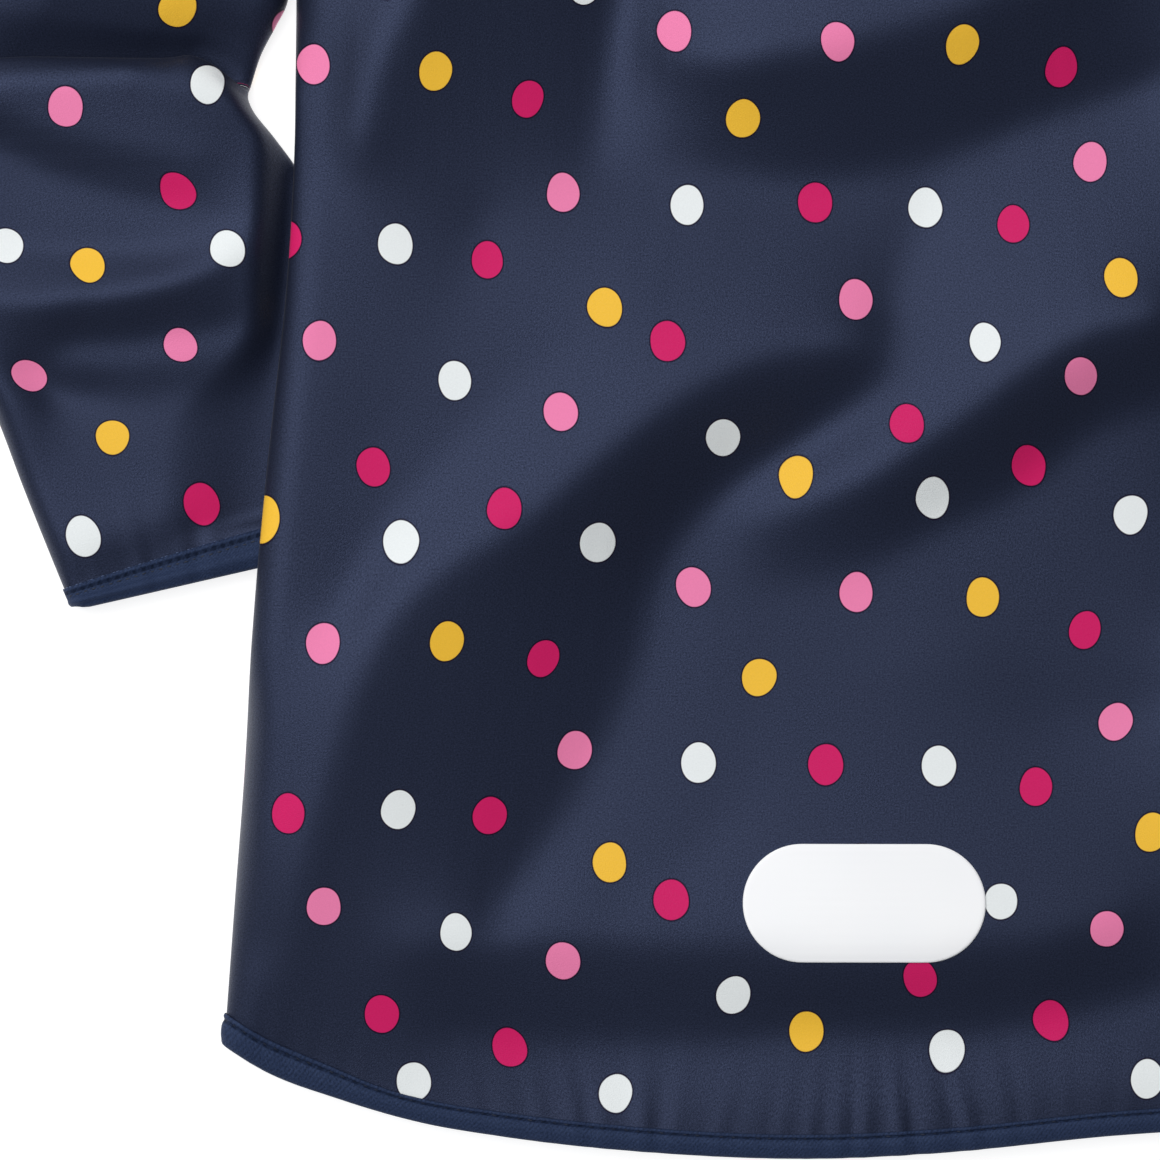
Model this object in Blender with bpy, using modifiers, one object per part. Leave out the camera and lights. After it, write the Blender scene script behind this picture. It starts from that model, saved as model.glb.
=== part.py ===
"""A child's softshell jacket, laid face down on a flat surface with its sleeves bent.

Sizes are in millimetres and become metres when a mesh is made. +Y runs from the
hem to the collar, the back faces up (+Z), and the fronts rest on the surface at z = 0.
"""
import math

import bpy
import numpy as np

MM = 0.001

# Overall sizes, from the lowest point of the back hem
LENGTH = 614.0           # back hem to the top of the collar
WALL = 1.6               # softshell bonded to its fleece
SEAM_GAP = 0.4           # between pieces that are sewn together
LAY_GAP = 0.4            # between a panel and what is sewn on it

# The body tube, pressed flat
SIDE_HEM_Y = 38.0        # where the side seam meets the hem
SHOULDER_TIP = (160.0, 555.0)
NECK_POINT = (67.0, 575.0)
ARMPIT = (187.4, 402.0)
SIDE_SEAM_HEIGHT = 5.0   # the side seam lies on the lower half of the side's roll
SIDE_ROLL = 11.0         # width of the roll on the back
FRONT_ROLL = 6.0         # width of the roll on the fronts
HEM_STAND = 1.1          # the fronts' hem stands on its binding
RIM_STAND = 1.2          # upright stretch of cloth beside the side seam
RIM_INSET = 0.8
SEAM_OPEN = 2.4          # and its two edges part above the armpit
SEAM_OPEN_LENGTH = 45.0
SLEEVE_LIFT = 9.6        # the body lies on the forearm along its side
SLEEVE_LIFT_WIDTH = 24.0
SLEEVE_LIFT_RAMP = 34.0

# The zip, closed
ZIP_EDGE = 3.5           # half the slot between the fronts
ZIP_LIFT = 4.2           # the fronts stand off the surface beside the zip
ZIP_LIFT_WIDTH = 16.0
ZIP_LIFT_RAMP = 34.0
ZIP_BOTTOM = 32.0
ZIP_TOP = 554.0
TAPE_INNER = 1.9
TAPE_OUTER = 15.0
TAPE_THICK = 0.6
CHAIN_HALF = 2.6
CHAIN_THICK = 2.4
BOX_LENGTH = 8.0
SLIDER_LENGTH = 9.5
SLIDER_HALF = 4.4
PLATE_THICK = 0.9
BRIDGE_HALF = 0.9
BRIDGE_LENGTH = 6.0
BRIDGE_DROP = 1.9
TAB_LENGTH = 26.0
TAB_HALF = 2.7
TAB_THICK = 1.0
TAB_RING = 6.0
TAB_ARM = 1.1

# Elastic binding on the hem and cuffs
BIND_WIDTH = 9.6
BIND_THICK = 0.5
BIND_GAP = 0.5
BIND_WRAP = 1.2

# Reflective label on the back
LABEL_CENTRE = (0.0, 84.5)
LABEL_SIZE = (80.0, 39.0)
LABEL_THICK = 0.4

# (y, half width): the side edge up to the armpit, then the armhole
SIDE = (
    (38, 211.4), (60, 209.8), (90, 207.6), (120, 205.3), (152, 203.3), (199, 199.7), (240, 195.6),
    (284, 190.8), (330, 188.0), (382, 187.6), (402, 187.4), (408, 184.0), (418, 178.0), (438, 168.0),
    (468, 159.0), (500, 155.5), (530, 156.5), (555, 160.0),
)
# (part of the half width, y); the back hem drops, a little lower on the left
BACK_HEM = (
    (-1, 38.0), (-0.94, 30.2), (-0.82, 20.6), (-0.69, 12.8), (-0.567, 8.4), (-0.317, 2.9), (-0.07, 1.1),
    (0.12, 3.0), (0.37, 8.3), (0.57, 11.8), (0.75, 18.0), (0.9, 27.5), (1, 38.0),
)
FRONT_HEM = ((0, 19.0), (0.5, 21.0), (0.8, 27.5), (0.94, 33.0), (1, 38.0))
BACK_NECK = ((0, 560.0), (0.2, 561.5), (0.32, 566.0), (0.42, 575.0), (1, 555.0))
FRONT_NECK = ((0, 512.0), (0.1, 513.5), (0.2, 519.0), (0.3, 531.0), (0.38, 550.0), (0.42, 575.0), (1, 555.0))
COLLAR_TOP_FRONT = ((0, 558.0), (0.3, 565.0), (0.6, 584.0), (0.85, 605.0), (1, 614.0))
COLLAR_TOP_BACK = ((0, 612.0), (0.5, 613.0), (1, 614.0))
COLLAR_TOP_HALF = 62.0

# The back's creases, each a line of (x, y, height): the cloth is stretched between them
BACK_CREASES = {
    "left side crest": ((-180, 395, 18), (-177, 330, 19), (-179, 270, 20), (-186, 224, 20),
                        (-191, 184, 20), (-194, 135, 19), (-197, 92, 17), (-199, 66, 13)),
    "left fold ridge": ((-1, 269, 24), (-31, 264, 25), (-61, 250, 27), (-90, 227, 28), (-114, 208, 29),
                        (-134, 196, 29), (-147, 181, 29), (-160, 155, 29), (-173, 125, 28), (-182, 99, 26),
                        (-189, 76, 22), (-190, 58, 17)),
    "left fold valley": ((7, 256, 17), (-15, 241, 11), (-41, 224, 9), (-61, 208, 8), (-71, 188, 7),
                         (-74, 168, 7), (-87, 138, 7), (-97, 118, 8), (-113, 95, 9), (-123, 77, 11)),
    "rise beyond the valley": ((-54, 171, 10), (-41, 135, 14), (-57, 108, 15), (-84, 86, 16)),
    "lower middle": ((-5, 152, 15), (28, 171, 15), (65, 145, 13), (98, 152, 13)),
    "middle fold ridge": ((98, 297, 31), (81, 287, 29), (61, 269, 28), (45, 254, 27), (22, 237, 25),
                          (-5, 222, 21), (-28, 214, 16), (-49, 207, 9)),
    "middle fold valley": ((98, 250, 14), (73, 241, 12), (51, 222, 11), (22, 208, 11), (-5, 194, 11),
                           (-34, 189, 10)),
    "hollow beside the fold": ((9, 274, 16), (12, 293, 13), (22, 316, 11)),
    "upper ridge": ((-74, 368, 24), (-48, 366, 29), (-21, 368, 30), (5, 374, 30), (32, 384, 31),
                    (78, 402, 31)),
    "upper valley": ((-81, 328, 13), (-48, 325, 12), (-15, 323, 11), (18, 328, 11), (51, 340, 11),
                     (98, 356, 11)),
    "upper left hollow": ((-87, 396, 14), (-90, 373, 13), (-90, 346, 12)),
    "left hollow": ((-120, 303, 14), (-130, 274, 14), (-140, 250, 15), (-153, 234, 17)),
    "hem ridge": ((-150, 72, 21), (-100, 76, 20), (-54, 71, 21), (-1, 69, 21), (45, 71, 20), (78, 77, 18),
                  (98, 92, 16)),
    "hem foot": ((-140, 40, 10), (-100, 39, 8), (-54, 39, 8), (-1, 41, 8), (45, 43, 8), (98, 56, 9)),
    "hem swell": ((-74, 18, 10), (-21, 15, 11), (32, 18, 11), (98, 24, 12)),
    "hem edge": ((-200, 32, 7), (-186, 26, 7), (-146, 14, 8), (-87, 6, 9), (-1, 2, 9), (60, 7, 9),
                 (110, 12, 9), (165, 20, 8), (200, 32, 7)),
    "right side crest": ((180, 395, 18), (177, 330, 19), (180, 270, 20), (188, 200, 20), (195, 120, 19),
                         (199, 66, 13)),
    "right fold ridge": ((165, 300, 27), (150, 250, 27), (140, 205, 26), (136, 165, 23)),
    "right fold valley": ((128, 262, 13), (116, 225, 11), (108, 180, 11)),
    "right hem fold": ((180, 118, 22), (150, 100, 22), (126, 86, 18)),
    "right hem foot": ((180, 52, 10), (140, 50, 9)),
    "chest ridge": ((-60, 448, 24), (0, 454, 22), (50, 446, 25), (110, 424, 22)),
    "chest valley": ((-95, 490, 15), (0, 498, 13), (90, 488, 15)),
    "yoke": ((-120, 530, 15), (-60, 545, 14), (0, 545, 13), (60, 545, 14), (120, 530, 15)),
    "left armhole": ((-180, 408, 14), (-161, 438, 14), (-154, 500, 14), (-160, 555, 14)),
    "right armhole": ((180, 408, 14), (161, 438, 14), (154, 500, 14), (160, 555, 14)),
    "neckline": ((-60, 570, 12), (0, 561, 12), (60, 570, 12)),
}
# Columns of points across the pieces, apart from their rolled edges
BACK_STEPS = 18
FRONT_STEPS = 8
SLEEVE_STEPS = 6

CREASE_STEP = 4.0        # grid on which the cloth between the creases is worked out
CREASE_ROUNDS = 900
CREASE_SOFTEN = 3

# Sleeve sections from the armhole to the cuff: inner edge, outer edge and the heights of
# the upper layer near the inner edge, at a third, at two thirds and near the outer edge
SLEEVE_SECTIONS = (
    # in_x, in_y, out_x, out_y, heights, share of the elbow fold's outline
    (187.4, 402.0, 160.0, 555.0, (14, 14, 14, 14), 0.0),
    (189.4, 396.0, 205.0, 511.0, (14, 17, 16, 13), 0.0),
    (190.5, 383.0, 246.0, 462.0, (13, 16, 15, 12), 0.0),
    (194.5, 374.5, 281.0, 417.0, (10, 13, 14, 12), 0.05),
    (199.5, 365.0, 306.0, 382.0, (7, 9, 11, 12), 0.4),
    (202.8, 355.0, 317.5, 363.0, (6, 7, 9, 11), 1.0),
    (203.6, 352.3, 318.6, 358.5, (12, 14, 13, 12), 1.0),
    (203.4, 349.6, 319.6, 354.0, (15, 19, 17, 13), 0.9),
    (201.0, 345.0, 321.0, 347.0, (15, 20, 18, 13), 0.5),
    (194.5, 337.0, 322.0, 337.0, (14, 16, 14, 12), 0.1),
    (186.0, 325.0, 321.0, 322.0, (13, 13, 12, 11), 0.0),
    (177.5, 308.0, 314.5, 304.0, (13, 14, 13, 11), 0.0),
    (174.0, 290.0, 306.5, 287.0, (13, 16, 16, 12), 0.0),
    (173.6, 270.0, 297.5, 268.0, (10, 11, 13, 12), 0.0),
    (175.0, 247.0, 287.0, 245.0, (9, 12, 11, 10), 0.0),
    (177.2, 224.0, 277.5, 220.0, (8, 11, 12, 9), 0.0),
    (178.7, 209.8, 267.6, 193.6, (8.4, 9, 10, 9.6), 0.0),
    (180.2, 200.0, 263.6, 184.6, (8.4, 9, 10, 9.6), 0.0),
)
# The elbow fold's edge: (part of the way from the inner to the outer edge, rise in y)
ELBOW_EDGE = (
    (0, 0.0), (0.045, 3.0), (0.07, 9.0), (0.14, 11.0), (0.2, 9.6), (0.45, 8.6), (0.7, 7.0), (1, 0.0),
)
SLEEVE_ROLL = 10.0
SLEEVE_SEAM_HEIGHT = 4.6
UNDER_BODY_HEIGHT = 4.4  # upper layer of the forearm where the body lies on it
CUFF_EXTRA = 3.7         # more at the cuff, where the binding is folded round both layers
UNDER_BODY_RAMP = 17.0
CUFF_STAND_LENGTH = 26.0

collection = bpy.data.collections.new("softshell_jacket")


def clear_scene():
    for item in list(bpy.data.objects):
        bpy.data.objects.remove(item, do_unlink=True)
    bpy.context.scene.collection.children.link(collection)


def material(name, colour, roughness, metallic=0.0):
    made = bpy.data.materials.new(name)
    made.use_nodes = True
    shader = made.node_tree.nodes["Principled BSDF"]
    shader.inputs["Base Color"].default_value = (*colour, 1.0)
    shader.inputs["Roughness"].default_value = roughness
    shader.inputs["Metallic"].default_value = metallic
    return made


def smooth_table(table, at):
    """A smooth curve through the (position, value) rows of a table."""
    rows = np.array(table, float)
    known, values = rows[:, 0], rows[:, 1]
    slopes = np.gradient(values, known)
    at = np.clip(np.asarray(at, float), known[0], known[-1])
    i = np.clip(np.searchsorted(known, at, side="right") - 1, 0, len(known) - 2)
    span = known[i + 1] - known[i]
    t = (at - known[i]) / span
    start = (2 * t**3 - 3 * t**2 + 1) * values[i] + (t**3 - 2 * t**2 + t) * span * slopes[i]
    end = (3 * t**2 - 2 * t**3) * values[i + 1] + (t**3 - t**2) * span * slopes[i + 1]
    return start + end


def linear_table(table, at):
    rows = np.array(table, float)
    return np.interp(at, rows[:, 0], rows[:, 1])


def ease(t):
    t = np.clip(t, 0.0, 1.0)
    return t * t * (3 - 2 * t)


def quarter_round(t):
    """0 at an edge and 1 where the roll ends, as the upper quarter of an ellipse."""
    t = np.clip(t, 0.0, 1.0)
    return np.sqrt(np.clip(1 - (1 - t) ** 2, 0.0, 1.0))


def stretched_cloth(creases, low, high):
    """Heights on a grid: fixed along the creases, stretched like a skin between them."""
    nx = int((high[0] - low[0]) / CREASE_STEP) + 1
    ny = int((high[1] - low[1]) / CREASE_STEP) + 1
    total, weight = np.zeros((ny, nx)), np.zeros((ny, nx))
    for line in creases.values():
        points = np.array(line, float)
        run = np.concatenate([[0], np.cumsum(np.hypot(*np.diff(points[:, :2], axis=0).T))])
        at = np.linspace(0, run[-1], int(run[-1] / 2) + 2)
        x, y, z = (smooth_table(np.column_stack([run, points[:, k]]), at) for k in range(3))
        column = np.clip(np.rint((x - low[0]) / CREASE_STEP).astype(int), 0, nx - 1)
        row = np.clip(np.rint((y - low[1]) / CREASE_STEP).astype(int), 0, ny - 1)
        np.add.at(total, (row, column), z)
        np.add.at(weight, (row, column), 1)
    fixed = weight > 0
    held = np.where(fixed, total / np.maximum(weight, 1), 0.0)
    height = np.where(fixed, held, held[fixed].mean())
    for _ in range(CREASE_ROUNDS):
        edge = np.pad(height, 1, mode="edge")
        mean = (edge[:-2, 1:-1] + edge[2:, 1:-1] + edge[1:-1, :-2] + edge[1:-1, 2:]) / 4
        height = np.where(fixed, held, mean)
    for _ in range(CREASE_SOFTEN):
        edge = np.pad(height, 1, mode="edge")
        height = (edge[:-2] + 2 * edge[1:-1] + edge[2:])[:, 1:-1] / 4
        edge = np.pad(height, 1, mode="edge")
        height = (edge[:, :-2] + 2 * edge[:, 1:-1] + edge[:, 2:])[1:-1] / 4
    return height


def read_grid(grid, low, x, y):
    u = np.clip((x - low[0]) / CREASE_STEP, 0, grid.shape[1] - 1.001)
    v = np.clip((y - low[1]) / CREASE_STEP, 0, grid.shape[0] - 1.001)
    i, j = u.astype(int), v.astype(int)
    u, v = u - i, v - j
    lower = grid[j, i] * (1 - u) + grid[j, i + 1] * u
    upper = grid[j + 1, i] * (1 - u) + grid[j + 1, i + 1] * u
    return lower * (1 - v) + upper * v


BACK_LOW, BACK_HIGH = (-216.0, -4.0), (216.0, 580.0)
BACK_HEIGHTS = stretched_cloth(BACK_CREASES, BACK_LOW, BACK_HIGH)


def half_width(y):
    return smooth_table(SIDE, y)


def side_distance(x, y):
    """Distance to the side edge, or to the armpit above it."""
    below = half_width(np.minimum(y, ARMPIT[1])) - np.abs(x)
    above = np.hypot(np.abs(x) - ARMPIT[0], y - ARMPIT[1])
    return np.where(y <= ARMPIT[1], np.maximum(below, 0.0), above)


def shoulder_distance(x, y):
    """Distance to the shoulder seam."""
    (x0, y0), (x1, y1) = NECK_POINT, SHOULDER_TIP
    run = ((np.abs(x) - x0) * (x1 - x0) + (y - y0) * (y1 - y0)) / ((x1 - x0) ** 2 + (y1 - y0) ** 2)
    run = np.clip(run, 0.0, 1.0)
    return np.hypot(np.abs(x) - x0 - run * (x1 - x0), y - y0 - run * (y1 - y0))


def sleeve_lift(x, y):
    """How far the body's side is lifted by the forearm under it."""
    inward = 1 - ease((side_distance(x, y) - SLEEVE_LIFT_WIDTH) / SLEEVE_LIFT_RAMP)
    along = ease((y - 138) / 34) * (1 - ease((y - 348) / 36))
    return SLEEVE_LIFT * inward * along


def seam_heights(x, y):
    """Heights of the two cloth edges at the seam round the body, lower and upper. They lie
    edge to edge along the side, and one above the other at the armpit and the shoulder."""
    middle = SIDE_SEAM_HEIGHT + sleeve_lift(x, y)
    apart = SEAM_GAP / 2 + SEAM_OPEN * ease((y - ARMPIT[1] + SEAM_OPEN_LENGTH) / SEAM_OPEN_LENGTH)
    return middle - apart, middle + apart


def back_height(x, y):
    """Outer face of the back."""
    crown = read_grid(BACK_HEIGHTS, BACK_LOW, x, y)
    edge = np.minimum(side_distance(x, y), shoulder_distance(x, y))
    seam = seam_heights(x, y)[1] + RIM_STAND
    return seam + (crown - seam) * quarter_round(edge / SIDE_ROLL)


def front_height(x, y, hem):
    """Outer face of the fronts, which rest on the surface."""
    beside_zip = ZIP_LIFT * (1 - ease((np.abs(x) - ZIP_LIFT_WIDTH) / ZIP_LIFT_RAMP))
    on_binding = HEM_STAND * (1 - ease((y - hem - BIND_WIDTH - 2) / 20))
    rest = np.maximum(np.maximum(beside_zip, on_binding), sleeve_lift(x, y))
    edge = np.minimum(side_distance(x, y), shoulder_distance(x, y))
    seam = np.maximum(seam_heights(x, y)[0] - RIM_STAND, rest + 0.4)
    return rest + (seam - rest) * (1 - quarter_round(edge / FRONT_ROLL))


def roll_columns(width, steps):
    """Distances from an edge that follow its roll evenly."""
    return [width * (1 - math.sin(math.pi / 2 * (1 - k / steps))) for k in range(steps)]


def back_columns(inner_steps, roll_steps):
    """(whole share, distance from the edge) for each column, left to right."""
    rolled = roll_columns(SIDE_ROLL, roll_steps)
    left = [(-1.0, d) for d in rolled]
    middle = [(t, None) for t in np.linspace(-1, 1, inner_steps + 1)]
    return left + middle + [(1.0, d) for d in reversed(rolled)]


def rim_of(point, edge_y, drop, inset):
    """The rim of a row of points. Along the side it stands straight below the edge, so that
    the cloth's thickness lies level there; above the armpit it runs on in line."""
    upright = 1 - float(ease((edge_y - ARMPIT[1] + SEAM_OPEN_LENGTH) / SEAM_OPEN_LENGTH))
    outward = math.copysign(inset * (1 - upright), point[0])
    return point + np.array([outward, 0.0, -drop * upright])


def back_grid(columns, rows):
    """Points of the back's outer face; rows are shares of the way up from the hem."""
    grid = np.zeros((len(rows), len(columns) + 2, 3))
    for j, v in enumerate(rows):
        edge_y = SIDE_HEM_Y + v * (SHOULDER_TIP[1] - SIDE_HEM_Y)
        half = float(half_width(edge_y))
        inset = RIM_INSET * float(ease((edge_y - ARMPIT[1] + SEAM_OPEN_LENGTH) / SEAM_OPEN_LENGTH))
        x = [t * (half - SIDE_ROLL) if d is None else t * (half - max(d, inset)) for t, d in columns]
        x = np.array(x)
        share = x / half
        low = smooth_table(BACK_HEM, share)
        high = linear_table(BACK_NECK, np.abs(share))
        y = low + v * (high - low)
        line = np.column_stack([x, y, back_height(x, y)])
        rims = [rim_of(line[k], edge_y, RIM_STAND, RIM_INSET - SEAM_GAP / 2) for k in (0, -1)]
        grid[j] = np.vstack([rims[0], line, rims[1]])
    return grid


def front_grid(columns, rows, zip_edge=ZIP_EDGE):
    """Points of one front's outer face, from its zip edge to the side."""
    grid = np.zeros((len(rows), len(columns) + 1, 3))
    for j, v in enumerate(rows):
        edge_y = SIDE_HEM_Y + v * (SHOULDER_TIP[1] - SIDE_HEM_Y)
        half = float(half_width(edge_y))
        inset = RIM_INSET * float(ease((edge_y - ARMPIT[1] + SEAM_OPEN_LENGTH) / SEAM_OPEN_LENGTH))
        flat = half - FRONT_ROLL - zip_edge
        x = np.array([zip_edge + t * flat if d is None else half - max(d, inset) for t, d in columns])
        share = (x - zip_edge) / (half - zip_edge)
        low = smooth_table(FRONT_HEM, share)
        high = linear_table(FRONT_NECK, share)
        y = low + v * (high - low)
        line = np.column_stack([x, y, front_height(x, y, low)])
        grid[j] = np.vstack([line, rim_of(line[-1], edge_y, -RIM_STAND, RIM_INSET - SEAM_GAP / 2)])
    return grid


def front_columns(inner_steps, roll_steps):
    middle = [(t, None) for t in np.linspace(0, 1, inner_steps + 1)]
    return middle + [(1.0, d) for d in reversed(roll_columns(FRONT_ROLL, roll_steps))]


def sleeve_grid(shares, sections, lower):
    """Points of a sleeve's upper or lower layer. Shares run from the inner to the outer edge."""
    table = [np.array(column, float) for column in zip(*[
        (s[0], s[1], s[2], s[3], *s[4], s[5]) for s in SLEEVE_SECTIONS])]
    known = np.arange(len(SLEEVE_SECTIONS))
    grid = np.zeros((len(sections), len(shares), 3))
    for j, k in enumerate(sections):
        in_x, in_y, out_x, out_y, *heights, fold = [float(np.interp(k, known, c)) for c in table]
        f = np.array(shares, float)
        x = in_x + (out_x - in_x) * f
        y = in_y + (out_y - in_y) * f + fold * linear_table(ELBOW_EDGE, f)
        if k < 3:   # the armhole's own curve, fading out down the sleeve
            edge_y = ARMPIT[1] + (SHOULDER_TIP[1] - ARMPIT[1]) * f
            bow = half_width(edge_y) - (ARMPIT[0] + (SHOULDER_TIP[0] - ARMPIT[0]) * f)
            low_part = 1 - ease((f - 0.15) / 0.3)
            x = x + bow * (1 - ease(k / 3)) * (1 - min(k, 1.0) * low_part)
        length = math.hypot(out_x - in_x, out_y - in_y)
        roll = np.minimum(SLEEVE_ROLL, length / 4)
        crown = np.interp(f, (0.05, 0.33, 0.67, 0.95), heights)
        at_cuff = ease((18 - cuff_distance(x, y)) / 7)
        if k > 8:   # thin where the body lies on it
            under = UNDER_BODY_HEIGHT + CUFF_EXTRA * at_cuff
            clear = ease((np.abs(x) - half_width(y) - 1.0) / UNDER_BODY_RAMP)
            crown = np.minimum(crown, under + (crown - under) * clear)
        stand = HEM_STAND * ease((CUFF_STAND_LENGTH - cuff_distance(x, y)) / 14)
        thin = np.minimum(1.0, (crown - UNDER_BODY_HEIGHT) / 6)
        seam = 2.3 + (SLEEVE_SEAM_HEIGHT - 2.3) * thin
        width = 3.6 + (roll - 3.6) * thin
        edge = np.minimum(f, 1 - f) * length
        if lower:
            width = np.minimum(width, FRONT_ROLL)
            width = width + (seam - stand - width) * at_cuff
            z = stand + (seam - stand) * (1 - quarter_round(edge / width))
        else:
            width = width + (crown - seam - width) * at_cuff
            z = seam + (crown - seam) * quarter_round(edge / width)
        grid[j] = np.column_stack([x, y, z])
    return grid


def cuff_distance(x, y):
    """Distance from the cuff's edge along the sleeve."""
    in_x, in_y, out_x, out_y = SLEEVE_SECTIONS[-1][:4]
    length = math.hypot(out_x - in_x, out_y - in_y)
    across = ((out_x - in_x) / length, (out_y - in_y) / length)
    return (y - in_y) * across[0] - (x - in_x) * across[1]


def tube_shares(steps, roll_share):
    """Shares across a sleeve, closer together at both rolled edges."""
    ends = [roll_share * (1 - math.cos(math.pi / 2 * k / 3)) for k in range(3)]
    return ends + list(np.linspace(roll_share, 1 - roll_share, steps)) + [1 - e for e in reversed(ends)]


def sleeve_tube(steps, sections, roll_share=0.08):
    """A closed ring of points for each section: across the upper layer and back below."""
    shares = tube_shares(steps, roll_share)
    upper = sleeve_grid(shares, sections, False)
    lower = sleeve_grid(shares[1:-1], sections, True)
    return np.concatenate([upper, lower[:, ::-1]], axis=1)


def normals(grid, closed=False):
    """Unit normals of a grid of points, from its neighbours."""
    wide = np.concatenate([grid[:, -1:], grid, grid[:, :1]], axis=1) if closed else grid
    along = np.gradient(wide, axis=0)
    across = np.gradient(wide, axis=1)
    normal = np.cross(across, along)
    if closed:
        normal = normal[:, 1:-1]
    return normal / np.maximum(np.linalg.norm(normal, axis=2, keepdims=True), 1e-9)


def mirrored(grid):
    return grid * np.array([-1.0, 1.0, 1.0])


def sheet(name, grid, look, thick=WALL, closed=False, offset=-1.0):
    """An open surface through a grid of points, made solid on one side."""
    rows, columns = grid.shape[:2]
    faces = []
    for j in range(rows - 1):
        for i in range(columns if closed else columns - 1):
            k = (i + 1) % columns
            faces.append((j * columns + i, j * columns + k, (j + 1) * columns + k, (j + 1) * columns + i))
    mesh = bpy.data.meshes.new(name)
    points = grid.reshape(-1, 3) * MM - np.array([0.0, LENGTH * MM / 2, 0.0])
    mesh.from_pydata(points.tolist(), [], faces)
    mesh.materials.append(look)
    mesh.shade_smooth()
    made = bpy.data.objects.new(name, mesh)
    collection.objects.link(made)
    solid = made.modifiers.new("cloth", "SOLIDIFY")
    solid.thickness = thick * MM
    solid.offset = offset
    return made


def block(name, low, high, look, bevel=0.0):
    """A box between two corners, in millimetres, with its edges eased."""
    centre = [(a + b) / 2 * MM for a, b in zip(low, high)]
    centre[1] -= LENGTH * MM / 2
    bpy.ops.mesh.primitive_cube_add(size=1, location=centre)
    made = bpy.context.object
    made.name = made.data.name = name
    made.scale = [(b - a) * MM for a, b in zip(low, high)]
    bpy.ops.object.transform_apply(location=False, rotation=False, scale=True)
    for home in list(made.users_collection):
        home.objects.unlink(made)
    collection.objects.link(made)
    made.data.materials.append(look)
    if bevel:
        rounded = made.modifiers.new("eased", "BEVEL")
        rounded.width = bevel * MM
        rounded.segments = 2
    return made


def joined(base, others):
    """Unites boxes into one solid and keeps only the result."""
    for other in others:
        union = base.modifiers.new("union", "BOOLEAN")
        union.operation = "UNION"
        union.object = other
    graph = bpy.context.evaluated_depsgraph_get()
    mesh = bpy.data.meshes.new_from_object(base.evaluated_get(graph))
    base.modifiers.clear()
    base.data = mesh
    for other in others:
        bpy.data.objects.remove(other, do_unlink=True)
    return base


def body_rows(count):
    """Shares of the way up the body, closer at the hem and at the armpit."""
    near = (0.0, BIND_WIDTH / (SHOULDER_TIP[1] - SIDE_HEM_Y), 0.045, 0.075)
    armpit = (ARMPIT[1] - SIDE_HEM_Y) / (SHOULDER_TIP[1] - SIDE_HEM_Y)
    lower = list(np.linspace(0.11, armpit, count))
    return list(near) + lower + [armpit + 0.0155, armpit + 0.035, armpit + 0.07] + list(
        np.linspace(armpit + 0.12, 1.0, max(4, count // 3)))


def make_back(look):
    grid = back_grid(back_columns(BACK_STEPS, 3), body_rows(13))
    return sheet("back_panel", grid, look)


def make_fronts(look):
    grid = front_grid(front_columns(FRONT_STEPS, 2), body_rows(13))
    sheet("front_right", grid[:, ::-1], look)
    sheet("front_left", mirrored(grid), look)


def make_sleeves(look):
    tube = sleeve_tube(SLEEVE_STEPS, list(range(len(SLEEVE_SECTIONS))))
    tube[0, :, 0] += SEAM_GAP * 2
    sheet("sleeve_right", tube[:, ::-1], look, closed=True)
    sheet("sleeve_left", mirrored(tube), look, closed=True)


def collar_grid(rows):
    """The stand collar pressed flat, from one zip edge round the neck to the other."""
    front = np.linspace(ZIP_EDGE, NECK_POINT[0] - FRONT_ROLL, 6)
    roll = [NECK_POINT[0] - d for d in reversed(roll_columns(FRONT_ROLL, 2))]
    top = [NECK_POINT[0] - d for d in roll_columns(SIDE_ROLL, 3)][1:]
    back = np.linspace(NECK_POINT[0] - SIDE_ROLL, 0, 6)
    half = [(x, True) for x in (*front, *roll)] + [(x, False) for x in (*top, *back)]
    ring = [(x, 1.0, low) for x, low in half] + [(x, -1.0, low) for x, low in reversed(half[:-1])]
    grid = np.zeros((len(rows), len(ring), 3))
    for i, (x, side, is_front) in enumerate(ring):
        share = x / NECK_POINT[0]
        if is_front:
            low = float(linear_table(FRONT_NECK, share * 0.42))
            high = float(smooth_table(COLLAR_TOP_FRONT, share))
            rest = ZIP_LIFT * (1 - float(ease((x - ZIP_LIFT_WIDTH) / ZIP_LIFT_RAMP)))
            bend = 1 - float(quarter_round((NECK_POINT[0] - x) / FRONT_ROLL))
            z = rest + (SIDE_SEAM_HEIGHT - rest) * bend
        else:
            low = float(linear_table(BACK_NECK, share * 0.42))
            high = float(smooth_table(COLLAR_TOP_BACK, share))
            bend = float(quarter_round((NECK_POINT[0] - x) / SIDE_ROLL))
            z = SIDE_SEAM_HEIGHT + (12.0 - SIDE_SEAM_HEIGHT) * bend
        for j, v in enumerate(rows):
            half_now = NECK_POINT[0] + v * (COLLAR_TOP_HALF - NECK_POINT[0])
            narrow = ZIP_EDGE + (x - ZIP_EDGE) * (half_now - ZIP_EDGE) / (NECK_POINT[0] - ZIP_EDGE)
            place = narrow if is_front else x * half_now / NECK_POINT[0]
            y = low + SEAM_GAP + v * (high - low - SEAM_GAP)
            grid[j, i] = (side * place, y, z)
    return grid


def make_collar(look):
    grid = collar_grid((0.0, 0.35, 0.7, 1.0))
    sheet("collar", grid[:, ::-1], look)


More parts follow.
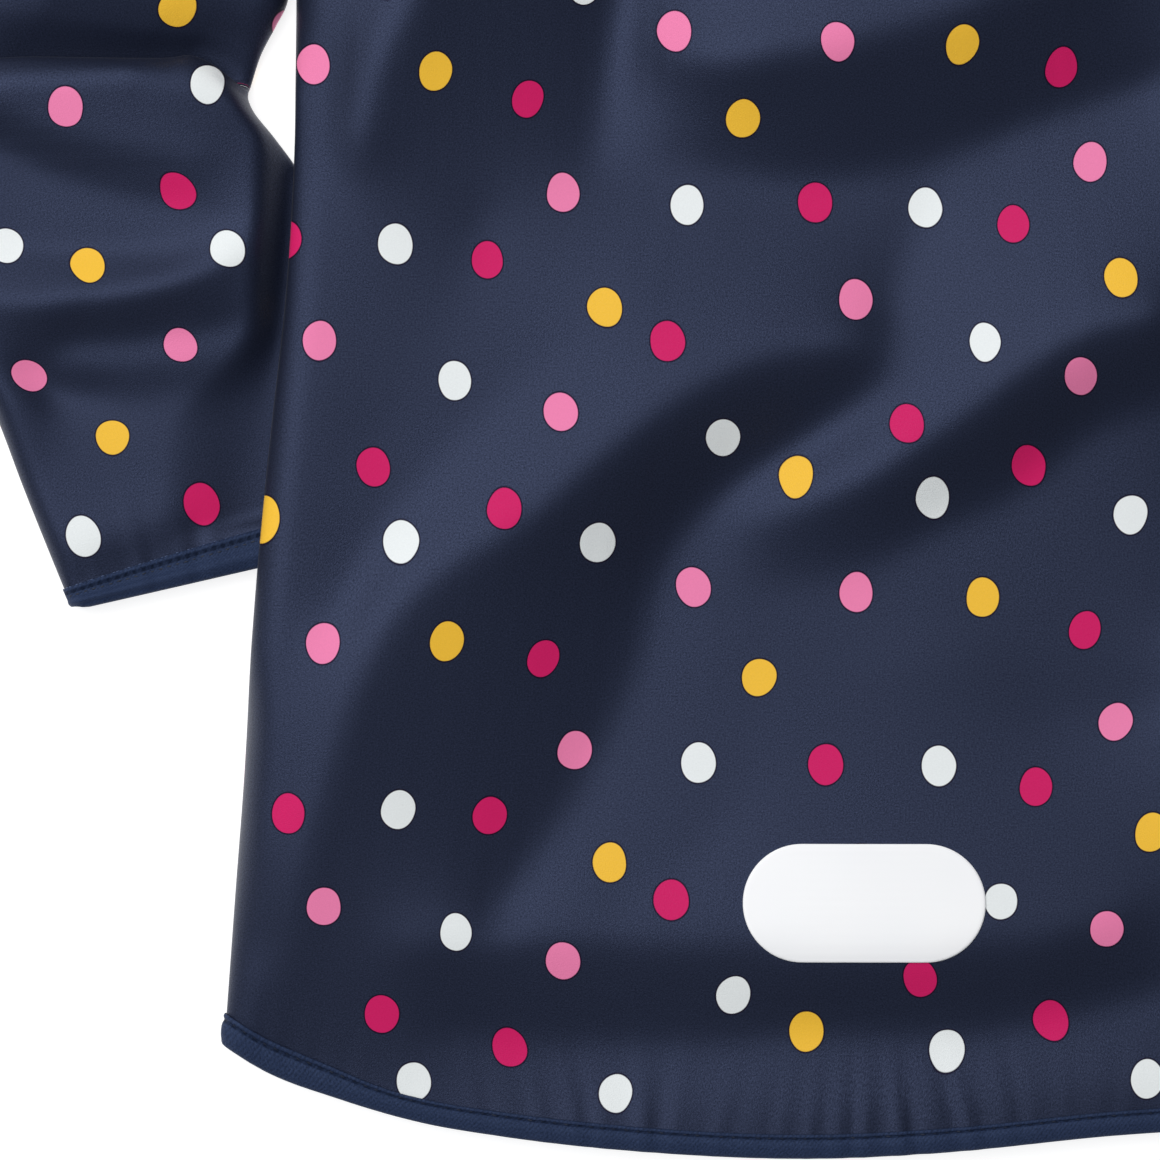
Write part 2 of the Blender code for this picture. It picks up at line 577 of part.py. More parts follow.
def binding(name, edge, inner, look, closed=False):
    """Elastic tape folded over a cloth edge. edge and inner are rows of points on the
    cloth's outer face: at its edge, and the tape's width in from it."""
    pair = np.stack([edge, inner])
    out = normals(pair, closed)
    inward = inner - edge
    inward /= np.linalg.norm(inward, axis=1, keepdims=True)
    far = BIND_GAP + WALL
    middle = edge - inward * BIND_WRAP - out[0] * WALL / 2
    profile = np.stack([
        inner - out[1] * far, edge - out[0] * far, middle,
        edge + out[0] * BIND_GAP, inner + out[1] * BIND_GAP,
    ])
    return sheet(name, profile, look, thick=BIND_THICK, closed=closed, offset=1.0)


def make_hem_binding(look):
    """One length from the left front's zip edge round the hem to the right front's."""
    share = BIND_WIDTH / (SHOULDER_TIP[1] - SIDE_HEM_Y)
    rows = (0.0, share)
    back = back_grid(back_columns(BACK_STEPS, 3), rows)
    front = front_grid(front_columns(FRONT_STEPS, 2), rows)
    left = mirrored(front)
    whole = np.concatenate([left, back, front[:, ::-1]], axis=1)
    binding("hem_binding", whole[0], whole[1], look)


def make_cuff_bindings(look):
    last = len(SLEEVE_SECTIONS) - 1
    inner, edge = sleeve_tube(SLEEVE_STEPS, [last - 1, last])
    binding("cuff_binding_right", edge, inner, look, closed=True)
    binding("cuff_binding_left", mirrored(edge)[::-1], mirrored(inner)[::-1], look, closed=True)


def make_label(look):
    """A film with round ends, laid on the back and following it."""
    width, height = LABEL_SIZE
    radius = height / 2
    straight = width / 2 - radius
    outline = []
    for turn in np.linspace(-math.pi / 2, math.pi / 2, 10):
        outline.append((straight + radius * math.cos(turn), radius * math.sin(turn)))
    for turn in np.linspace(math.pi / 2, 3 * math.pi / 2, 10):
        outline.append((-straight + radius * math.cos(turn), radius * math.sin(turn)))
    rings = (0.12, 0.45, 0.78, 1.0)
    centre = np.array(LABEL_CENTRE)
    flat = np.array([[centre + (x * r, y * r) for x, y in outline] for r in rings])
    z = back_height(flat[..., 0], flat[..., 1]) + LAY_GAP
    grid = np.dstack([flat, z])[:, ::-1]
    made = sheet("reflective_label", grid, look, thick=LABEL_THICK, closed=True, offset=1.0)
    count = len(outline)
    mesh = made.data
    points = [tuple(v.co) for v in mesh.vertices]
    faces = [tuple(p.vertices) for p in mesh.polygons] + [tuple(reversed(range(count)))]
    mesh.clear_geometry()
    mesh.from_pydata(points, [], faces)
    return made


def make_zip(tape_look, chain_look, metal_look):
    bottom = ZIP_LIFT + WALL + LAY_GAP
    for name, side in (("zip_tape_left", -1.0), ("zip_tape_right", 1.0)):
        ends = (ZIP_BOTTOM, ZIP_TOP)
        grid = np.array([[(side * x, y, bottom) for x in (TAPE_INNER, TAPE_OUTER)] for y in ends])
        sheet(name, grid[:, ::int(side)], tape_look, thick=TAPE_THICK, offset=1.0)
    chain_top = bottom - 0.3
    chain_low = chain_top - CHAIN_THICK
    slider_top = ZIP_TOP - 1.0
    chain_end = slider_top - 3.0
    corner = (CHAIN_HALF, chain_end, chain_top)
    block("zip_chain", (-CHAIN_HALF, ZIP_BOTTOM, chain_low), corner, chain_look, 0.5)
    box_end = ZIP_BOTTOM - 0.3
    corner = (3.0, box_end, chain_top)
    block("zip_box", (-3.0, box_end - BOX_LENGTH, chain_low - 0.3), corner, chain_look, 0.5)
    plate_high = chain_low - 0.35
    plate_low = plate_high - PLATE_THICK
    cover_low = bottom + TAPE_THICK + 0.35
    start = slider_top - SLIDER_LENGTH
    corner = (SLIDER_HALF, slider_top, plate_high)
    plate = block("zip_slider", (-SLIDER_HALF, start, plate_low), corner, metal_look)
    neck_start = chain_end + 0.4
    corner = (1.4, slider_top - 0.4, cover_low + 0.3)
    neck = block("neck", (-1.4, neck_start, plate_high - 0.3), corner, metal_look)
    corner = (SLIDER_HALF, slider_top, cover_low + PLATE_THICK)
    cover = block("cover", (-SLIDER_HALF, start, cover_low), corner, metal_look)
    hinge_y = start + SLIDER_LENGTH / 2
    arch_low = plate_low - BRIDGE_DROP
    reach = BRIDGE_LENGTH / 2
    parts = [neck, cover]
    for sign in (-1, 1):
        near = sorted((hinge_y + sign * reach, hinge_y + sign * (reach - 0.9)))
        corner = (BRIDGE_HALF, near[1], plate_low + 0.3)
        parts.append(block("foot", (-BRIDGE_HALF, near[0], arch_low), corner, metal_look))
    parts.append(block("arch", (-BRIDGE_HALF, hinge_y - reach + 0.1, arch_low),
                       (BRIDGE_HALF, hinge_y + reach - 0.1, arch_low + 0.6), metal_look))
    joined(plate, parts)
    hinge_z = (plate_low + arch_low + 0.6) / 2
    make_tab(hinge_y, hinge_z, metal_look)


def make_tab(hinge_y, hinge_z, look):
    """The pull tab: a cross bar under the slider's bridge, two arms and a plate."""
    low, high = hinge_z - TAB_THICK / 2, hinge_z + TAB_THICK / 2
    corner = (TAB_HALF, hinge_y - TAB_RING, high)
    plate = block("zip_pull_tab", (-TAB_HALF, hinge_y - TAB_LENGTH, low), corner, look)
    arms = []
    for side in (-1, 1):
        x = sorted((side * TAB_HALF, side * (TAB_HALF - TAB_ARM)))
        arms.append(block("arm", (x[0], hinge_y - TAB_RING - 0.5, low), (x[1], hinge_y + 0.35, high), look))
    bpy.ops.mesh.primitive_cylinder_add(
        vertices=12, radius=0.45 * MM, depth=2 * (TAB_HALF - 0.2) * MM,
        location=(0, hinge_y * MM - LENGTH * MM / 2, hinge_z * MM), rotation=(0, math.pi / 2, 0))
    bar = bpy.context.object
    bar.data.materials.append(look)
    tab = joined(plate, [*arms, bar])
    origin = np.array([0.0, hinge_y * MM - LENGTH * MM / 2, hinge_z * MM])
    for vertex in tab.data.vertices:
        vertex.co = np.array(tab.matrix_world @ vertex.co) - origin
    tab.matrix_world.identity()
    tab.location = origin


clear_scene()
cloth = material("softshell", (0.020, 0.026, 0.052), 0.55)
elastic = material("elastic_binding", (0.022, 0.034, 0.072), 0.7)
film = material("reflective_film", (0.93, 0.94, 0.95), 0.35)
webbing = material("zip_tape", (0.016, 0.021, 0.042), 0.8)
coil = material("zip_coil", (0.018, 0.023, 0.045), 0.4)
metal = material("zip_metal", (0.55, 0.56, 0.58), 0.3, 1.0)
make_back(cloth)
make_fronts(cloth)
make_sleeves(cloth)
make_collar(cloth)
make_hem_binding(elastic)
make_cuff_bindings(elastic)
make_label(film)
make_zip(webbing, coil, metal)
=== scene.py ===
import math

import bpy
import numpy as np
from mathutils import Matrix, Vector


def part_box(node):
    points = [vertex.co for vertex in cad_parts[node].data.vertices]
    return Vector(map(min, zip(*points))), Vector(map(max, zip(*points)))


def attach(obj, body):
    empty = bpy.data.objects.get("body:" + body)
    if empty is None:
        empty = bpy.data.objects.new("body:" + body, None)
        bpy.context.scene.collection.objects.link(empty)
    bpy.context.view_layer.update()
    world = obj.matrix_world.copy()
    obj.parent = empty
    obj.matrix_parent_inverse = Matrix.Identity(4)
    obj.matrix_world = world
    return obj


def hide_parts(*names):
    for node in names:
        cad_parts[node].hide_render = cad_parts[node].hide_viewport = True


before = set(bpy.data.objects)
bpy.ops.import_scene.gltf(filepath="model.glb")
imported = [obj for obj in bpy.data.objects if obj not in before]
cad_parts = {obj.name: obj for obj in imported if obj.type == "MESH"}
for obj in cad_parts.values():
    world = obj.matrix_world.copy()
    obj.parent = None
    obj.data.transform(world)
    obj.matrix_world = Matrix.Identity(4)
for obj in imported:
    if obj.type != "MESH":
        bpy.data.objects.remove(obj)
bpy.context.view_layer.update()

# Camera. The jacket is seen from straight above its back, close to the left sleeve and hem,
# through a long lens. The picture is 383 mm wide at the height of the cloth.
MM = 0.001
JACKET_MIDDLE = 307.0       # the frame's origin, in mm up from the hem's lowest point
PICTURE_WIDTH = 382.8
PICTURE_CENTRE = (-93.7, 191.1)
CLOTH_LEVEL = 14.0
LENS_HEIGHT = 2200.0

camera = bpy.data.objects.new("camera", bpy.data.cameras.new("camera"))
bpy.context.scene.collection.objects.link(camera)
camera.data.sensor_width = 36.0
camera.data.lens = 36.0 * LENS_HEIGHT / PICTURE_WIDTH
camera.data.clip_end = 50.0
camera.location = (
    PICTURE_CENTRE[0] * MM, (PICTURE_CENTRE[1] - JACKET_MIDDLE) * MM, (LENS_HEIGHT + CLOTH_LEVEL) * MM,
)
bpy.context.scene.camera = camera


# Studio. The jacket lies on a milky acrylic sheet, lit from below so that it stays white. One large
# softbox hangs high over its left shoulder, and a dim white room fills the shadows.
def srgb(text, alpha=1.0):
    """A hex colour as linear red, green, blue and alpha."""
    parts = [int(text[i:i + 2], 16) / 255 for i in (0, 2, 4)]
    return tuple(p / 12.92 if p <= 0.04045 else ((p + 0.055) / 1.055) ** 2.4 for p in parts) + (alpha,)


def add(tree, kind, inputs=None, **settings):
    """Adds a node with its settings; each input is a value or another node's output."""
    made = tree.nodes.new("ShaderNode" + kind)
    for name, value in settings.items():
        setattr(made, name, value)
    for name, value in (inputs or {}).items():
        if isinstance(value, bpy.types.NodeSocket):
            tree.links.new(value, made.inputs[name])
        else:
            made.inputs[name].default_value = value
    return made


def new_material(name, settings):
    """A new material with its shader's settings, its node tree and its shader."""
    made = bpy.data.materials.new(name)
    made.use_nodes = True
    shader = made.node_tree.nodes["Principled BSDF"]
    for socket, value in settings.items():
        shader.inputs[socket].default_value = value
    return made, made.node_tree, shader


def mixed(tree, share, first, second):
    """Two colours mixed; each is a hex colour or another node's output."""
    pair = [srgb(c) if isinstance(c, str) else c for c in (first, second)]
    return add(tree, "MixRGB", {"Fac": share, "Color1": pair[0], "Color2": pair[1]}).outputs["Color"]


def mottled(name, settings, grain, tones, on_cloth=False):
    """A material with two close tones in a noise; returns its tree, shader and noise too."""
    made, tree, shader = new_material(name, settings)
    if on_cloth:
        place = add(tree, "Attribute", attribute_name="print_mm").outputs["Vector"]
    else:
        place = add(tree, "TexCoord").outputs["Object"]
    cloud = add(tree, "TexNoise", {"Vector": place, **grain}).outputs["Fac"]
    tree.links.new(mixed(tree, cloud, *tones), shader.inputs["Base Color"])
    return made, tree, shader, cloud


board = mottled(
    "lit_milky_acrylic",
    {"Roughness": 0.9, "Specular IOR Level": 0.1, "Emission Color": srgb("ffffff"), "Emission Strength": 0.8},
    {"Scale": 9.0, "Detail": 3.0}, ("aeaeae", "b2b2b2"),
)[0]
bpy.ops.mesh.primitive_grid_add(x_subdivisions=8, y_subdivisions=8, size=8.0, location=(0, 0, -0.0004))
floor = bpy.context.object
floor.name = "floor"
floor.data.materials.append(board)


def softbox(name, place, aim, side, watts):
    """A square lamp at a place, turned to face the point that it aims at."""
    lamp = bpy.data.lights.new(name, "AREA")
    lamp.shape = "SQUARE"
    lamp.size = side
    lamp.energy = watts
    made = bpy.data.objects.new(name, lamp)
    bpy.context.scene.collection.objects.link(made)
    made.location = place
    east, north, up = np.array(aim) - np.array(place)
    made.rotation_euler = (math.atan2(math.hypot(east, north), -up), 0, math.atan2(north, east) - math.pi / 2)


softbox("softbox_key", (-1.25, 0.95, 2.45), (-0.09, -0.1, 0.0), 3.2, 92.0)
world = bpy.data.worlds.new("white_room")
bpy.context.scene.world = world
world.use_nodes = True
world.node_tree.nodes["Background"].inputs["Color"].default_value = srgb("f6f9ff")
world.node_tree.nodes["Background"].inputs["Strength"].default_value = 0.27
bpy.context.scene.view_settings.view_transform = "Standard"


# Softshell. The face is a dense polyester knit, heat-printed with ovals before it was bonded to
# a brushed fleece. The ink lies in the yarn, and each oval has a thin dark edge.
PRINT_ACROSS = (174.9, 12.5)       # one repeat across and one up, in mm
PRINT_UP = (-4.0, 184.1)
# colour, place in the repeat in mm, width, height, tilt in degrees
OVALS = (
    ("pink", -181.5, 361.0, 11.4, 13.6, 6), ("yellow", -141.2, 358.4, 10.6, 13.4, -14),
    ("crimson", -110.9, 349.8, 10.4, 13.2, -12), ("pink", -99.3, 318.8, 11.4, 13.4, 4),
    ("white", -58.4, 314.8, 11.6, 13.4, 0), ("crimson", -16.2, 315.8, 11.6, 13.6, 0),
    ("white", -154.4, 301.6, 11.4, 13.6, 0), ("crimson", -124.4, 296.7, 10.8, 13.0, 0),
    ("yellow", -85.5, 280.8, 11.6, 13.6, 4), ("pink", -179.5, 269.9, 11.4, 13.8, 0),
    ("crimson", -65.0, 269.6, 11.8, 13.6, -4), ("white", -135.0, 256.7, 10.8, 13.4, 0),
    ("pink", -100.0, 246.5, 11.8, 13.4, 0), ("crimson", -161.7, 228.4, 11.2, 13.4, 6),
    ("crimson", -118.5, 214.8, 11.8, 13.6, 0), ("white", -46.9, 237.9, 11.2, 12.8, -18),
    ("yellow", -23.1, 225.1, 11.6, 13.2, 4), ("white", -152.5, 203.9, 11.8, 13.6, 0),
    ("white", -88.1, 203.6, 11.0, 13.2, -24), ("pink", -62.4, 372.2, 11.4, 13.6, 8),
    ("yellow", -39.9, 343.5, 11.6, 12.8, -10),
)
INK = {"white": "eff3f2", "pink": "f284b0", "yellow": "f8c33c", "crimson": "d31f63"}


def maths(tree, operation, *values):
    """The output of a Math node."""
    return add(tree, "Math", dict(enumerate(values)), operation=operation).outputs[0]


def vectors(tree, operation, *values, out=0, **named):
    """An output of a Vector Math node: 0 is a vector, 1 a number."""
    return add(tree, "VectorMath", {**dict(enumerate(values)), **named}, operation=operation).outputs[out]


def noise(tree, place, scale, detail, roughness=0.5, out="Fac"):
    """A noise over a place in mm."""
    settings = {"Scale": scale, "Detail": detail, "Roughness": roughness}
    return add(tree, "TexNoise", {"Vector": place, **settings}).outputs[out]


def spread(tree, value, from_low, from_high, to_low=0.0, to_high=1.0):
    """Moves a value from one range to another and keeps it inside."""
    ends = {"From Min": from_low, "From Max": from_high, "To Min": to_low, "To Max": to_high}
    return add(tree, "MapRange", {"Value": value, **ends}).outputs[0]


def two_navies(tree, value, dark, light):
    """A ramp between two navies over the middle of a value's range."""
    ramp = add(tree, "ValToRGB", {"Fac": value})
    for stop, position, colour in zip(ramp.color_ramp.elements, (0.3, 0.7), (dark, light)):
        stop.position, stop.color = position, srgb(colour)
    return ramp.outputs["Color"]


def relief(tree, shader, height, strength, distance):
    """A bump in the look's surface."""
    bump = add(tree, "Bump", {"Height": height, "Strength": strength, "Distance": distance})
    tree.links.new(bump.outputs[0], shader.inputs["Normal"])


def printed_softshell(name):
    """Navy knit with the printed ovals; the print's place on the cloth is read from its points."""
    made, tree, shader = new_material(name, {
        "Roughness": 0.5, "IOR": 1.5, "Specular Tint": (0.45, 0.56, 1.0, 1.0), "Sheen Weight": 0.05,
        "Sheen Roughness": 0.4,
    })
    place = add(tree, "Attribute", attribute_name="print_mm").outputs["Vector"]
    # the ovals' outlines wander a little, as the cloth was drawn along while it was printed
    shift = vectors(tree, "SUBTRACT", noise(tree, place, 0.09, 0.0, out="Color"), (0.5, 0.5, 0.5))
    loose = vectors(tree, "ADD", place, vectors(tree, "SCALE", shift, Scale=1.3))
    (ax, ay), (bx, by) = PRINT_ACROSS, PRINT_UP
    area = ax * by - ay * bx
    s = vectors(tree, "DOT_PRODUCT", loose, (by / area, -bx / area, 0), out="Value")
    t = vectors(tree, "DOT_PRODUCT", loose, (-ay / area, ax / area, 0), out="Value")
    cell = add(tree, "CombineXYZ", {"X": s, "Y": t}).outputs[0]
    nearest = {}
    for ink, x, y, width, height, tilt in OVALS:
        at = ((x * by - y * bx) / area, (y * ax - x * ay) / area, 0)
        offset = vectors(tree, "SUBTRACT", cell, at)
        offset = vectors(tree, "WRAP", offset, (0.5, 0.5, 0.5), (-0.5, -0.5, -0.5))
        turn = math.radians(tilt)
        wide = (math.cos(turn) * 2 / width, math.sin(turn) * 2 / width)
        tall = (-math.sin(turn) * 2 / height, math.cos(turn) * 2 / height)
        ways = [(ax * k[0] + ay * k[1], bx * k[0] + by * k[1], 0) for k in (wide, tall)]
        u, v = (vectors(tree, "DOT_PRODUCT", offset, way, out="Value") for way in ways)
        far = vectors(tree, "LENGTH", add(tree, "CombineXYZ", {"X": u, "Y": v}).outputs[0], out="Value")
        nearest[ink] = maths(tree, "MINIMUM", nearest[ink], far) if ink in nearest else far

    # the yarn is drawn at 0.7 mm, coarser than its real 0.2 mm, so that the camera can show it
    slub = noise(tree, place, 1.5, 5.0, 0.9)
    colour = mixed(tree, noise(tree, place, 0.05, 2.0), two_navies(tree, slub, "0a0d16", "1c2234"), "141826")
    grain = spread(tree, slub, 0.3, 0.7, 0.93, 1.03)
    inked = 0.0
    for ink, far in nearest.items():
        edge = spread(tree, far, 1.075, 1.02)
        colour = mixed(tree, edge, colour, "150c20")
        body = spread(tree, far, 0.985, 0.945)
        inked = maths(tree, "MAXIMUM", edge, maths(tree, "MAXIMUM", body, inked))
        colour = mixed(tree, body, colour, vectors(tree, "SCALE", srgb(INK[ink])[:3], Scale=grain))
    tree.links.new(colour, shader.inputs["Base Color"])
    glint = spread(tree, noise(tree, place, 1.7, 3.0, 0.8), 0.32, 0.68, 0.4, 1.6)
    shine = maths(tree, "MULTIPLY", spread(tree, inked, 0.0, 1.0, 0.6, 0.16), glint)
    tree.links.new(shine, shader.inputs["Specular IOR Level"])
    relief(tree, shader, noise(tree, place, 2.2, 2.0, 0.6), 0.45, 0.00025)
    return made


def brushed_fleece(name):
    """The bonded inner face: short brushed pile, plain navy. Its tufts are drawn at twice their size."""
    pile = {"Scale": 0.6, "Detail": 5.0, "Roughness": 0.8}
    dull = {"Roughness": 0.95, "Sheen Weight": 0.4}
    made, tree, shader, tuft = mottled(name, dull, pile, ("12172a", "2e3654"), on_cloth=True)
    relief(tree, shader, tuft, 0.6, 0.0006)
    return made


softshell = printed_softshell("printed_polyester_softshell")
fleece = brushed_fleece("brushed_polyester_fleece")


# Back panel. One piece of softshell with a dropped, rounded hem. It lies over the fronts with air
# under it, so it keeps the folds it was handled with, and it is drawn up by the elastic hem.
SIDE_HEM_Y = 38.0
SHOULDER_TIP = (160.0, 555.0)
NECK_POINT = (67.0, 575.0)
ARMPIT = (187.4, 402.0)
CLOTH_THICK = 1.3
SIDE_SEAM_HEIGHT = 5.0
SIDE_ROLL = 11.0
FRONT_ROLL = 6.0
HEM_STAND = 1.1
SEAM_OPEN = 2.4
SEAM_OPEN_LENGTH = 45.0
SLEEVE_LIFT = 9.6
BIND_WIDTH = 9.6
CLOTH_INSET = 1.3           # the cloth's raw edge lies this far inside the folded binding
BACK_STEPS = 170            # columns of points across
# (y, half width): the side edge up to the armpit, then the armhole
SIDE = (
    (38, 211.4), (60, 209.8), (90, 207.6), (120, 205.3), (152, 203.3), (199, 199.7), (240, 195.6),
    (284, 190.8), (330, 188.0), (382, 187.6), (402, 187.4), (408, 184.0), (418, 178.0), (438, 168.0),
    (468, 159.0), (500, 155.5), (530, 156.5), (555, 160.0),
)
# (part of the half width, y)
BACK_HEM = (
    (-1, 38.0), (-0.94, 30.2), (-0.82, 20.6), (-0.69, 12.8), (-0.567, 8.4), (-0.317, 2.9), (-0.07, 1.1),
    (0.12, 3.0), (0.37, 8.3), (0.57, 11.8), (0.75, 18.0), (0.9, 27.5), (1, 38.0),
)
BACK_NECK = ((0, 560.0), (0.2, 561.5), (0.32, 566.0), (0.42, 575.0), (1, 555.0))
# Each crease is a line of (x, y, height): the cloth is stretched between them
BACK_CREASES = {
    "left side crest": ((-180, 395, 18), (-177, 330, 20), (-179, 270, 22), (-186, 224, 23),
                        (-191, 184, 23), (-195, 135, 21.5), (-198, 92, 18), (-199, 66, 13)),
    "left fold ridge": ((-1, 269, 24), (-31, 264, 25), (-61, 250, 27), (-90, 227, 28), (-114, 208, 29),
                        (-136, 197, 29), (-153, 184, 29), (-167, 158, 29), (-178, 128, 27), (-187, 100, 24),
                        (-192, 78, 20), (-195, 60, 15)),
    "foot of the left fold": ((-74, 284, 21), (-105, 266, 20), (-125, 248, 20), (-145, 225, 20.5),
                              (-162, 202, 21), (-174, 178, 22)),
    "left fold valley": ((7, 256, 17), (-15, 241, 11), (-41, 224, 9), (-61, 208, 8), (-71, 188, 7),
                         (-74, 168, 7), (-87, 138, 7), (-97, 118, 8), (-113, 95, 10), (-123, 77, 13)),
    "rise beyond the valley": ((-50, 171, 9.5), (-38, 135, 10.5), (-52, 108, 11), (-80, 86, 12.5)),
    "lower middle": ((-10, 150, 12), (28, 165, 13.5), (65, 145, 12), (98, 152, 12)),
    "middle fold ridge": ((98, 277, 31), (81, 275, 30), (61, 265, 28), (45, 253, 27), (22, 237, 25),
                          (-5, 222, 21), (-28, 214, 16), (-49, 207, 9)),
    "middle fold valley": ((98, 250, 14), (73, 241, 12), (51, 222, 11), (22, 208, 11), (-5, 194, 11),
                           (-34, 189, 10)),
    "hollow beside the fold": ((9, 274, 16), (12, 293, 13), (22, 316, 11)),
    "upper ridge": ((-62, 364, 22), (-41, 363, 28), (-15, 366, 30), (12, 372, 30), (38, 381, 31),
                    (71, 396, 31)),
    "upper left ridge": ((-168, 333, 27), (-163, 356, 30), (-151, 379, 31), (-143, 396, 31), (-135, 425, 28)),
    "upper valley": ((-81, 328, 12), (-48, 325, 12), (-15, 323, 11), (18, 328, 11), (51, 340, 11),
                     (98, 356, 11)),
    "upper left hollow": ((-78, 402, 8), (-80, 380, 7), (-84, 352, 8.5), (-90, 330, 11)),
    "left hollow": ((-125, 310, 16), (-135, 282, 18.5), (-145, 258, 20), (-162, 236, 20.5)),
    "hem ridge": ((-150, 72, 19.5), (-100, 74, 16.5), (-54, 71, 16.5), (-1, 69, 18), (45, 71, 18.5),
                  (78, 77, 18), (98, 92, 16)),
    "hem foot": ((-140, 40, 9.5), (-100, 39, 7), (-54, 39, 7), (-1, 41, 7.5), (45, 43, 8), (98, 56, 9)),
    "hem swell": ((-74, 18, 10), (-21, 15, 11), (32, 18, 11), (98, 24, 12)),
    "hem edge": ((-200, 32, 7), (-186, 26, 7.5), (-146, 14, 9), (-87, 6, 10.5), (-1, 2, 11), (60, 7, 11),
                 (110, 12, 10.5), (165, 20, 9), (200, 32, 7)),
    "right side crest": ((180, 395, 18), (177, 330, 19), (180, 270, 20), (188, 200, 20), (195, 120, 19),
                         (199, 66, 13)),
    "right fold ridge": ((165, 300, 27), (150, 250, 27), (140, 205, 26), (136, 165, 23)),
    "right fold valley": ((128, 262, 13), (116, 225, 11), (108, 180, 11)),
    "right hem fold": ((180, 118, 22), (150, 100, 22), (126, 86, 18)),
    "right hem foot": ((180, 52, 10), (140, 50, 9)),
    "chest ridge": ((-60, 448, 24), (0, 454, 22), (50, 446, 25), (110, 424, 22)),
    "chest valley": ((-95, 490, 15), (0, 498, 13), (90, 488, 15)),
    "yoke": ((-120, 530, 15), (-60, 545, 14), (0, 545, 13), (60, 545, 14), (120, 530, 15)),
    "left armhole": ((-180, 408, 14), (-161, 438, 14), (-154, 500, 14), (-160, 555, 14)),
    "right armhole": ((180, 408, 14), (161, 438, 14), (154, 500, 14), (160, 555, 14)),
    "neckline": ((-60, 570, 12), (0, 561, 12), (60, 570, 12)),
}


def smooth_table(table, at):
    """A smooth curve through the (position, value) rows of a table."""
    rows = np.array(table, float)
    known, values = rows[:, 0], rows[:, 1]
    slopes = np.gradient(values, known)
    at = np.clip(np.asarray(at, float), known[0], known[-1])
    i = np.clip(np.searchsorted(known, at, side="right") - 1, 0, len(known) - 2)
    span = known[i + 1] - known[i]
    t = (at - known[i]) / span
    start = (2 * t**3 - 3 * t**2 + 1) * values[i] + (t**3 - 2 * t**2 + t) * span * slopes[i]
    end = (3 * t**2 - 2 * t**3) * values[i + 1] + (t**3 - t**2) * span * slopes[i + 1]
    return start + end


def linear_table(table, at):
    """Straight lines through the (position, value) rows of a table."""
    rows = np.array(table, float)
    return np.interp(at, rows[:, 0], rows[:, 1])


def ease(t):
    """A smooth step from 0 to 1."""
    t = np.clip(t, 0.0, 1.0)
    return t * t * (3 - 2 * t)


def quarter_round(t):
    """0 at an edge and 1 where the roll ends, as the upper quarter of an ellipse."""
    return np.sqrt(np.clip(1 - (1 - np.clip(t, 0.0, 1.0)) ** 2, 0.0, 1.0))


def run_lengths(points):
    """How far along a line of points each point lies."""
    return np.concatenate([[0], np.cumsum(np.linalg.norm(np.diff(points, axis=0), axis=1))])


class Stretched:
    """Cloth heights on a grid: fixed along the creases, stretched like a skin between them."""

    def __init__(self, creases, low, high, step=3.0, rounds=1600, soften=5):
        self.low, self.step = low, step
        nx, ny = (int((high[k] - low[k]) / step) + 1 for k in (0, 1))
        total, weight = np.zeros((ny, nx)), np.zeros((ny, nx))
        for line in creases.values():
            points = np.array(line, float)
            run = run_lengths(points[:, :2])
            at = np.linspace(0, run[-1], int(run[-1]) + 2)
            x, y, z = (smooth_table(np.column_stack([run, points[:, k]]), at) for k in range(3))
            column = np.clip(np.rint((x - low[0]) / step).astype(int), 0, nx - 1)
            row = np.clip(np.rint((y - low[1]) / step).astype(int), 0, ny - 1)
            np.add.at(total, (row, column), z)
            np.add.at(weight, (row, column), 1)
        fixed = weight > 0
        held = np.where(fixed, total / np.maximum(weight, 1), 0.0)
        height = np.where(fixed, held, held[fixed].mean())
        for _ in range(rounds):
            edge = np.pad(height, 1, mode="edge")
            mean = (edge[:-2, 1:-1] + edge[2:, 1:-1] + edge[1:-1, :-2] + edge[1:-1, 2:]) / 4
            height = np.where(fixed, held, mean)
        for _ in range(soften):
            edge = np.pad(height, 1, mode="edge")
            height = (edge[:-2] + 2 * edge[1:-1] + edge[2:])[:, 1:-1] / 4
            edge = np.pad(height, 1, mode="edge")
            height = (edge[:, :-2] + 2 * edge[:, 1:-1] + edge[:, 2:])[1:-1] / 4
        self.height = height

    def at(self, x, y):
        """The height at each point."""
        u = np.clip((x - self.low[0]) / self.step, 0, self.height.shape[1] - 1.001)
        v = np.clip((y - self.low[1]) / self.step, 0, self.height.shape[0] - 1.001)
        i, j = u.astype(int), v.astype(int)
        u, v = ease(u - i) * 0.35 + (u - i) * 0.65, ease(v - j) * 0.35 + (v - j) * 0.65
        grid = self.height
        lower = grid[j, i] * (1 - u) + grid[j, i + 1] * u
        upper = grid[j + 1, i] * (1 - u) + grid[j + 1, i + 1] * u
        return lower * (1 - v) + upper * v


back_cloth = Stretched(BACK_CREASES, (-216.0, -4.0), (216.0, 580.0))


def half_width(y):
    """Half the body's width, or the armhole's distance from the middle above it."""
    return smooth_table(SIDE, y)


def side_distance(x, y):
    """Distance to the side edge, or to the armpit above it."""
    below = half_width(np.minimum(y, ARMPIT[1])) - np.abs(x)
    above = np.hypot(np.abs(x) - ARMPIT[0], y - ARMPIT[1])
    return np.where(y <= ARMPIT[1], np.maximum(below, 0.0), above)


